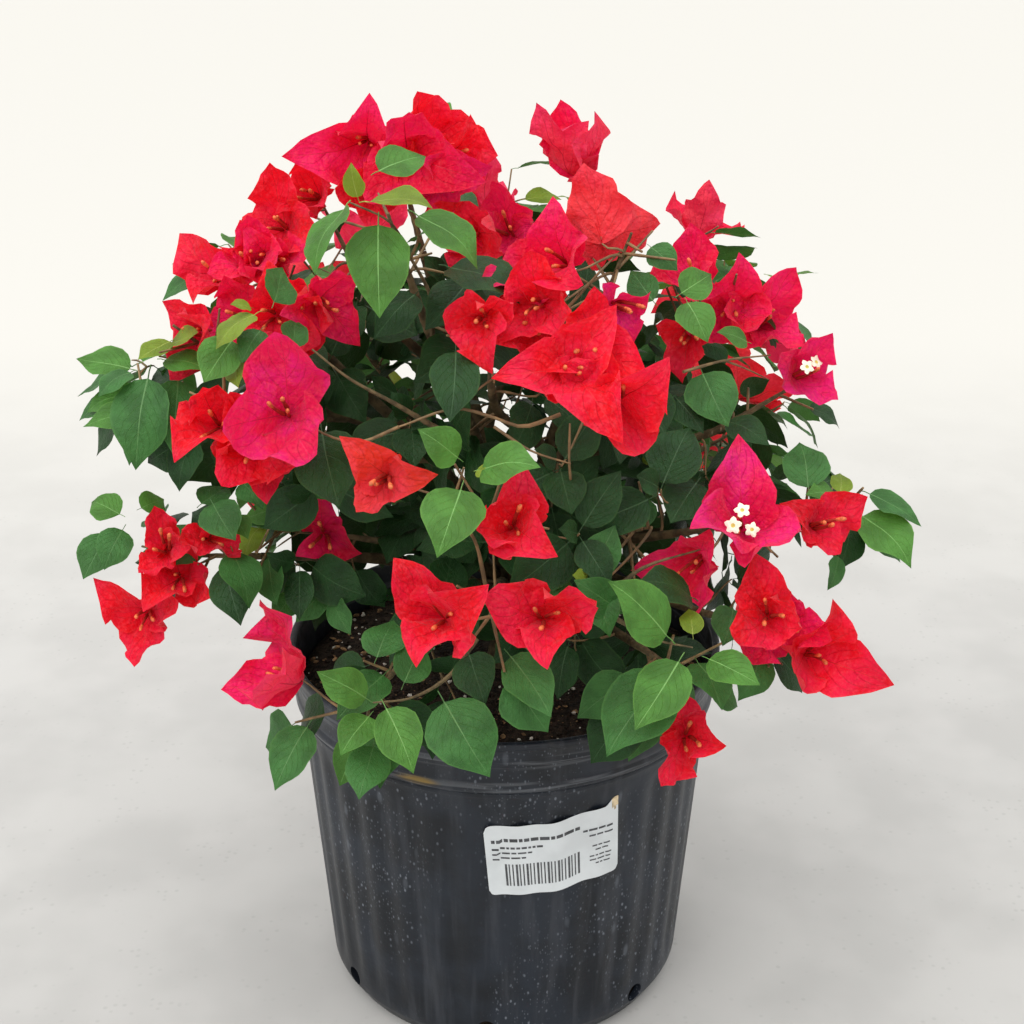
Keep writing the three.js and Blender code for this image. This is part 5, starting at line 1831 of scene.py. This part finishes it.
class StickLabel(bpy.types.Operator):
    """Sticks the curved paper label on the wall, with its torn corner and plain printed rules"""

    bl_idname = "bush.stick_label"
    bl_label = "Label"

    # In millimetres and degrees: ARC is its middle's way round the wall, MIDDLE is its height
    WIDTH, HEIGHT, MIDDLE, ARC, TILT, CORNER = 84.0, 52.0, 155.0, 31.0, 4.0, 4.5
    PAPER = (0.38, 40.0, 0.06, 0.5)
    TORN = ((0.60, 0.49, 0.32), 0.8, 200.0, 0.35, 0.3)
    INK = ((0.075, 0.078, 0.085), 0.5, 300.0, 0.3, 0.4)

    def place(self, x, z, proud):
        """A point of the flat label, bent round the wall and laid over its flutes."""
        tilt = math.radians(self.TILT)
        along = x * math.cos(tilt) - z * math.sin(tilt)
        level = self.MIDDLE + x * math.sin(tilt) + z * math.cos(tilt)
        angle = (self.ARC + along) / wall_radius(self.MIDDLE)
        wave = 0.16 * math.sin(x * 0.21 + 1.1) + 0.10 * math.sin(x * 0.37 + z * 0.1)
        radius = wall_radius(level) + 0.45 + proud + wave
        return (radius * math.sin(angle) * MM, -radius * math.cos(angle) * MM, level * MM)

    def edges(self, share):
        """The label's lower and upper edge at a share of its width, with rounded corners."""
        x = (share - 0.5) * self.WIDTH
        inset = min(share, 1 - share) * self.WIDTH
        cut = 0.0
        if inset < self.CORNER:
            cut = self.CORNER - math.sqrt(self.CORNER**2 - (self.CORNER - inset) ** 2)
        drift = 1.1 * math.sin(share * 9.5 + 0.4) + 0.5 * math.sin(share * 21)
        low = -self.HEIGHT / 2 + cut + drift
        high = self.HEIGHT / 2 - cut * (share < 0.5) + drift
        high += 5.5 * clamp((share - 0.9) / 0.07, 0, 1)
        return x, low, high

    def execute(self, context):
        columns, rows = 56, 24
        places, faces, torn = [], [], []
        for i in range(columns + 1):
            x, low, high = self.edges(i / columns)
            places += [self.place(x, low + (high - low) * j / rows, 0.0) for j in range(rows + 1)]
        for i in range(columns):
            for j in range(rows):
                a = i * (rows + 1) + j
                faces.append((a, a + rows + 1, a + rows + 2, a + 1))
                torn.append(int(i > columns * 0.93 and j > rows * (0.80 + 0.05 * (i % 2))))
        sheet = link("label_sheet", mesh_from("label_sheet", places, faces))
        thick = sheet.modifiers.new("paper", "SOLIDIFY")
        thick.thickness, thick.offset = 0.00018, -1
        paper = context.scene.bush_pot.label_colour
        sheet.data.materials.append(plain_material("label_paper", paper, *self.PAPER))
        sheet.data.materials.append(plain_material("torn_paper", *self.TORN))
        sheet.data.polygons.foreach_set("material_index", torn)
        mesh = evaluated(sheet)
        mesh.shade_smooth()
        mesh.set_sharp_from_angle(angle=math.radians(60))
        add_piece("label_sheet", mesh, "label", ["label"])
        self.print_rules()
        return {"FINISHED"}

    def marks(self):
        """The printed marks: an even block of bars, then rules that are broken into dashes."""
        marks = [(-31 + 2.15 * k, -10.8, 0.8 + 0.5 * (k % 3 == 0), 16.5) for k in range(22)]
        rules = [(-38, 15.4, 54, 2.4), (-38, 9.6, 32, 1.5), (-38, 5.8, 24, 1.2), (-38, 2.2, 22, 1.2)]
        rules += [(18, 11.8, 20, 1.5), (22, 7.4, 16, 1.2), (24, -0.8, 12, 1.0), (26, -4.0, 10, 1.0)]
        rules += [(22, -8.4, 15, 1.0), (22, -11.4, 15, 1.0), (26, -14.4, 10, 1.0)]
        chance = seeded(SEEDS["rules"])
        for left, middle, width, height in rules:
            end = left + width
            while left < end - 1.5:
                dash = min(between((1.5, 6), chance), end - left)
                marks.append((left, middle, dash, height))
                left += dash + 0.9
        return marks

    def print_rules(self):
        """The marks as thin ink that follows the paper."""
        places, faces = [], []
        for left, middle, width, height in self.marks():
            steps = max(2, int(width / 2))
            faces += [
                (a, a + 2, a + 3, a + 1)
                for a in range(len(places), len(places) + 2 * steps, 2)
            ]
            for i in range(steps + 1):
                x = left + width * i / steps
                drift = self.edges(x / self.WIDTH + 0.5)[1] + self.HEIGHT / 2
                drift = drift if -33 < x < 33 else 0
                for z in (middle - height / 2, middle + height / 2):
                    places.append(self.place(x, z + drift, 0.12))
        mesh = mesh_from("label_rules", places, faces)
        mesh.shade_smooth()
        add_piece("label_rules", mesh, "label", ["label"], plain_material("label_ink", *self.INK))


def bark_material(colour):
    material, wires, surface = new_material("bark", 0.85, 0.3)
    flecks = specks(wires, 420.0, 0.35, 0.4)
    shade = wires.mix(flecks, drift(wires, colour, 0.6, 1.35, 160.0), (0.30, 0.24, 0.15, 1.0))
    lay_on(wires, surface, shade, relief(wires, 500.0, 420.0, 0.15), 0.6, 0.0010)
    return material


class GrowWood(bpy.types.Operator):
    """Clothes the trunk and its boughs in bark with knots and ridges"""

    bl_idname = "bush.grow_wood"
    bl_label = "Trunk and boughs"

    def execute(self, context):
        grown = plant(context)
        bark = bark_material(context.scene.bush_crown.bark_colour)
        limbs = [grown.trunk, *(mass.bough for mass in grown.masses)]
        nodes = ["trunk", *("bough_" + mass.name for mass in grown.masses)]
        add_piece("wood", clothe("wood", limbs, 12, (0.0004, 420.0), bark, 2.5, 0.10), "bark", nodes)
        return {"FINISHED"}


def add_growth(name, mesh, slot):
    """A piece that stands for every mass of foliage."""
    add_piece(name, mesh, slot, ["mass_" + mass.name for mass in Plant.grown.masses])


class GrowTwigs(bpy.types.Operator):
    """Clothes the stems and the twigs of every mass"""

    bl_idname = "bush.grow_twigs"
    bl_label = "Twigs"

    def execute(self, context):
        twigs, crown = plant(context).twigs, context.scene.bush_crown
        bark = plain_material("stem_bark", tint(crown.bark_colour, 1.25)[:3], 0.8, 200.0, 0.35)
        green = plain_material("green_shoot", crown.shoot_colour, 0.6, 120.0, 0.3)
        stems = [limb for limb, kind in twigs if kind == "wood"]
        shoots = [limb for limb, kind in twigs if kind == "shoot"]
        mesh = clothe("stems", stems, 8, (0.0002, 500.0), bark, 4.0, 0.15, 0.5)
        add_growth("stems", mesh, "foliage")
        mesh = clothe("shoots", shoots, 5, (0.0, 500.0), green, 6.0, 0.2, 0.2)
        add_growth("shoots", mesh, "foliage")
        return {"FINISHED"}


def leaf_axes(way, up):
    return np.cross(way, up), way, up


# The freshness and the painted light and shade of a leaf, by how far out it grows, how much it faces
# up and by chance, and how much a light or a mid leaf needs. A share of the small leaves furthest out
# are young.
# Facing up stands for painted light from above, and lying further in for age and painted shade.
FRESH_AND_LIT = {"from": 0.95, "outward": 1.6, "lit_from_above": 0.25, "chance": 0.9, "light": 0.62, "mid": 0.12}
YOUNG = {"length": 30, "outward": 1.12, "share": 0.5}


def tone_of(leaf, mass, kind, chance):
    """How a leaf has aged, with painted light and shade: fresher at the top and the tips, lighter
    where it faces up as painted light, older and darker further in, partly as painted shade.
    """
    if kind in TONES:
        return kind
    outward = np.linalg.norm(leaf.middle - CROWN_HEART) / np.linalg.norm(mass.middle - CROWN_HEART)
    fresh_and_lit = (outward - FRESH_AND_LIT["from"]) * FRESH_AND_LIT["outward"] + FRESH_AND_LIT["lit_from_above"] * leaf.up[2]
    fresh_and_lit += FRESH_AND_LIT["chance"] * (chance() - 0.5)
    small = kind == "fine" and leaf.length < YOUNG["length"] and outward > YOUNG["outward"]
    if small and chance() < YOUNG["share"]:
        return "young"
    if fresh_and_lit > FRESH_AND_LIT["light"]:
        return "light"
    return "mid" if fresh_and_lit > FRESH_AND_LIT["mid"] else "deep"


# How much light the leaves of a tone let through, and the colour of their ribs
THROUGH = {"deep": 0.10, "mid": 0.18, "light": 0.26, "young": 0.30}
RIBS = {"deep": (0.026, 0.082, 0.022), "mid": (0.075, 0.19, 0.05)}
RIBS |= {"light": (0.14, 0.31, 0.075), "young": (0.28, 0.34, 0.06)}


class GrowLeaves(bpy.types.Operator):
    """Hangs the leaves on their twigs, in four tones dealt out by age and by painted light and shade
    """

    bl_idname = "bush.grow_leaves"
    bl_label = "Leaves"

    def execute(self, context):
        chance = seeded(SEEDS["tones"])
        marks = {tone: [] for tone in TONES}
        for leaf, mass, kind in plant(context).leaves:
            tone = tone_of(leaf, mass, kind, chance)
            size = leaf.length * (0.94 if kind == "coarse" else 1.0) * MM
            pattern = int(chance() * LEAF_PATTERNS)
            marks[tone].append((leaf.root * MM, leaf_axes(leaf.way, leaf.up), size, pattern))
        for tone in TONES:
            name, colour = "leaves_" + tone, getattr(context.scene.bush_crown, tone + "_colour")
            blade = leaf_material("leaf_" + tone, colour, THROUGH[tone])
            rib = plain_material("rib_" + tone, RIBS[tone], 0.5, 200.0, 0.1)
            leaves = patterns(LEAF_PATTERNS, blade_pattern, "leaf", *LEAF_SHAPE)
            add_growth(name, spread(name, marks[tone], leaves, blade, rib), "foliage")
        return {"FINISHED"}


def flower_mesh(name, places, faces, second):
    mesh = mesh_from(name, places, faces)
    mark_mesh(mesh, "second", "BOOLEAN", "FACE", second)
    mesh.shade_smooth()
    return mesh


def tube_pattern(name, seed):
    """A slim flower tube one unit long, up Z, with a swollen bud at its end."""
    chance = seeded(seed)
    lean, way = between((0.1, 0.3), chance), 6.28 * chance()
    rings = [(0, 0.03), (0.12, 0.055), (0.35, 0.05), (0.6, 0.04), (0.76, 0.042), (0.87, 0.056)]
    rings += [(0.95, 0.058), (1, 0.035)]
    sides, places, faces = 6, [], []
    for height, radius in rings:
        shift = lean * height * height
        for k in range(sides):
            angle = 2 * math.pi * k / sides
            x = radius * math.cos(angle) + shift * math.cos(way)
            places.append((x, radius * math.sin(angle) + shift * math.sin(way), height))
    for a in range(0, len(places) - sides, sides):
        for k in range(sides):
            m = (k + 1) % sides
            faces.append((a + k, a + m, a + sides + m, a + sides + k))
    second = [k >= 4 * sides for k in range(len(faces))]
    faces.append(tuple(range(len(places) - sides, len(places))))
    faces.append(tuple(reversed(range(sides))))
    return flower_mesh(name, places, faces, [*second, True, False])


def star_pattern(name, seed):
    """An open flower one unit across, face up Z: five notched lobes round a small eye."""
    chance = seeded(seed)
    places, faces = [(0, 0, 0.02)], []
    count = 20
    for radius, height in ((0.12, 0.05), (0.34, 0.07), (0.5, 0.03)):
        for k in range(count):
            angle = 2 * math.pi * k / count
            lobe = 1 - 0.30 * (0.5 - 0.5 * math.cos(5 * angle)) * (radius > 0.2)
            notch = 1 - 0.10 * (k % 4 == 2) * (radius > 0.4)
            wave = 0.05 * math.sin(10 * angle + chance()) * (radius > 0.2)
            r = radius * lobe * notch
            places.append((r * math.cos(angle), r * math.sin(angle), height + wave))
    for k in range(count):
        m = (k + 1) % count
        faces.append((0, 1 + k, 1 + m))
        for ring in (1, 1 + count):
            faces.append((ring + k, ring + k + count, ring + m + count, ring + m))
    return flower_mesh(name, places, faces, [len(face) == 3 for face in faces])


# How a bloom opens: the turn and the growth of a bract, the lean, the growth and the root of its
# flower's tube, and the size of an open flower, with how many patterns there are of each.
OPENED = {"turn": (-16, 16), "bract": (1.0, 1.12), "lean": (0.15, 0.4), "tube": (0.8, 1.1)}
OPENED |= {"root": 0.002, "star": (0.0085, 0.0105), "tubes": 4, "stars": 2}
CREAM, EYE = (0.86, 0.82, 0.66), (0.62, 0.50, 0.10)


class OpenBlooms(bpy.types.Operator):
    """Opens the blooms: three papery bracts each, in their hue, round their flower tubes"""

    bl_idname = "bush.open_blooms"
    bl_label = "Blooms"

    def open(self, bloom, tube_length, bracts, tubes, stars):
        """Marks the places of a bloom's bracts, of its flower tubes and of its open flowers."""
        chance = seeded(int(1e6 + bloom.site.dot([31, 1009, 52711])))
        for turn, blade in enumerate(bloom.bracts):
            up = around(blade.way, blade.up, between(OPENED["turn"], chance))
            size = blade.length * between(OPENED["bract"], chance) * MM
            pattern = int(chance() * BRACT_PATTERNS)
            bracts.append((blade.root * MM, leaf_axes(blade.way, up), size, pattern))
            lean = blend((bloom.axis, 1), (blade.way, between(OPENED["lean"], chance)))
            side = around(lean, UP, 360 * chance())
            axes = (side, np.cross(lean, side), lean)
            length = tube_length * between(OPENED["tube"], chance)
            root = blade.root * MM + blade.way * OPENED["root"]
            tubes.append((root, axes, length, int(chance() * OPENED["tubes"])))
            if turn < bloom.flowers:
                size = between(OPENED["star"], chance)
                end = root + lean * (length * 1.02)
                stars.append((end, axes, size, int(chance() * OPENED["stars"])))

    def execute(self, context):
        tints = context.scene.bush_blossom
        bracts, tubes, stars = {hue: [] for hue in HUES}, [], []
        for bloom in plant(context).blooms:
            self.open(bloom, tints.tube_length, bracts[bloom.hue], tubes, stars)
        for hue, name in HUES.items():
            colour, piece = getattr(tints, name), "bracts_" + name
            finish = bract_material("bract_" + name, colour)
            rib = plain_material("bract_rib_" + name, tint(colour, 0.74)[:3], 0.6, 200.0, 0.1)
            papery = patterns(BRACT_PATTERNS, blade_pattern, "bract", *BRACT_SHAPE)
            add_growth(piece, spread(piece, bracts[hue], papery, finish, rib), "blossom")
        tube = plain_material("flower_tube", tints.tube_colour, 0.6, 300.0, 0.2)
        tip = plain_material("flower_bud", tints.tip_colour, 0.6, 400.0, 0.25)
        kinds = patterns(OPENED["tubes"], tube_pattern, "tube")
        add_growth("flower_tubes", spread("flower_tubes", tubes, kinds, tube, tip), "blossom")
        cream = plain_material("open_flower", CREAM, 0.6, 400.0, 0.06)
        eye = plain_material("flower_eye", EYE, 0.6, 400.0, 0.2)
        kinds = patterns(OPENED["stars"], star_pattern, "star")
        add_growth("open_flowers", spread("open_flowers", stars, kinds, cream, eye), "blossom")
        return {"FINISHED"}


# The key lamp in metres, the way that the light overhead falls, the sky and the floor
KEY = {"place": (-1.3, -1.5, 1.9), "size": 1.2, "colour": (1.0, 0.98, 0.95), "aim": (0, 0, 0.32)}
OVERHEAD = {"way": (0.1, 0.16, -1), "spread": 100}
SKY_COLOUR = (1.0, 0.985, 0.96, 1.0)
FLOOR = {"half": 9.0, "count": 12, "far": (0.25, 1.5)}


def floor_material(sizes):
    material, wires, surface = new_material("pale_floor", 0.8, 0.2)
    near, far = sizes.floor_colour, tint(sizes.far_colour, 1.0)
    grit = wires.times(specks(wires, 160.0, 0.4), 0.35)
    gritty = wires.mix(grit, drift(wires, near, 0.95, 1.05, 9.0), tint(near, 0.72))
    share = wires.between(wires.axes(wires.place())[1], *FLOOR["far"])
    shade = wires.mix(share, gritty, far)
    lay_on(wires, surface, shade, relief(wires, 30.0, 60.0, 0.1), 0.15, 0.001)
    return material


def aim(thing, way):
    """Turns a lamp so that it shines along a way."""
    thing.rotation_euler = Vector(way).to_track_quat("-Z", "Y").to_euler()


class SetStage(bpy.types.Operator):
    """Lays the pale floor, hangs the soft lamps and stands the camera where the photo's was"""

    bl_idname = "bush.set_stage"
    bl_label = "Stage"

    def lay_floor(self, sizes):
        count = FLOOR["count"]
        steps = np.linspace(-FLOOR["half"], FLOOR["half"], count + 1)
        places = [(x, y, 0.0) for y in steps for x in steps]
        corners = [row * (count + 1) + k for row in range(count) for k in range(count)]
        faces = [(k, k + 1, k + count + 2, k + count + 1) for k in corners]
        floor = link("floor", mesh_from("floor", places, faces))
        floor.data.materials.append(floor_material(sizes))

    def hang_lamps(self, sizes, scene):
        world = bpy.data.worlds.new("soft_sky")
        world.use_nodes = True
        sky = world.node_tree.nodes["Background"].inputs
        sky["Color"].default_value = SKY_COLOUR
        sky["Strength"].default_value = sizes.sky_strength
        scene.world = world
        lamp = bpy.data.lights.new("key_lamp", "AREA")
        lamp.shape, lamp.size = "DISK", KEY["size"]
        lamp.energy, lamp.color = sizes.key_power, KEY["colour"]
        thing = link("key_lamp", lamp)
        thing.location = KEY["place"]
        aim(thing, Vector(KEY["aim"]) - Vector(KEY["place"]))
        overhead = bpy.data.lights.new("overhead_light", "SUN")
        overhead.energy, overhead.angle = sizes.sun_strength, math.radians(OVERHEAD["spread"])
        aim(link("overhead_light", overhead), OVERHEAD["way"])

    def execute(self, context):
        sizes, scene = context.scene.bush_stage, context.scene
        self.lay_floor(sizes)
        self.hang_lamps(sizes, scene)
        lens = bpy.data.cameras.new("camera")
        lens.lens, lens.sensor_width = sizes.focal, 36.0
        lens.clip_start, lens.clip_end = 0.05, 60
        camera = link("camera", lens)
        camera.location = VIEWER * MM
        camera.rotation_euler = (math.radians(90 - TILT), 0, TURN)
        scene.camera = camera
        scene.view_settings.view_transform = "Standard"
        return {"FINISHED"}


class BUSH_PT_maker(bpy.types.Panel):
    """The bush's pieces, each with its button and its sizes"""

    bl_label = "Bougainvillea bush"
    bl_space_type = "VIEW_3D"
    bl_region_type = "UI"
    bl_category = "Bush"

    def draw(self, context):
        for step in STEPS:
            self.layout.operator(step.bl_idname)
        for name in SETTINGS:
            group = getattr(context.scene, name)
            column = self.layout.column()
            for key in group.__annotations__:
                column.prop(group, key)


SETTINGS = {
    "bush_pot": PotSettings,
    "bush_crown": CrownSettings,
    "bush_blossom": BlossomSettings,
    "bush_stage": StageSettings,
}
STEPS = (SetStage, MakePot, FillPot, StickLabel, GrowWood, GrowTwigs, GrowLeaves, OpenBlooms)
CLASSES = (*SETTINGS.values(), *STEPS, BUSH_PT_maker)


def register():
    for made in CLASSES:
        bpy.utils.register_class(made)
    for name, group in SETTINGS.items():
        setattr(bpy.types.Scene, name, PointerProperty(type=group))


def unregister():
    for name in SETTINGS:
        delattr(bpy.types.Scene, name)
    for made in reversed(CLASSES):
        bpy.utils.unregister_class(made)


def main():
    register()
    for step in STEPS:
        family, name = step.bl_idname.split(".")
        getattr(getattr(bpy.ops, family), name)()
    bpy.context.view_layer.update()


if __name__ == "__main__":
    main()
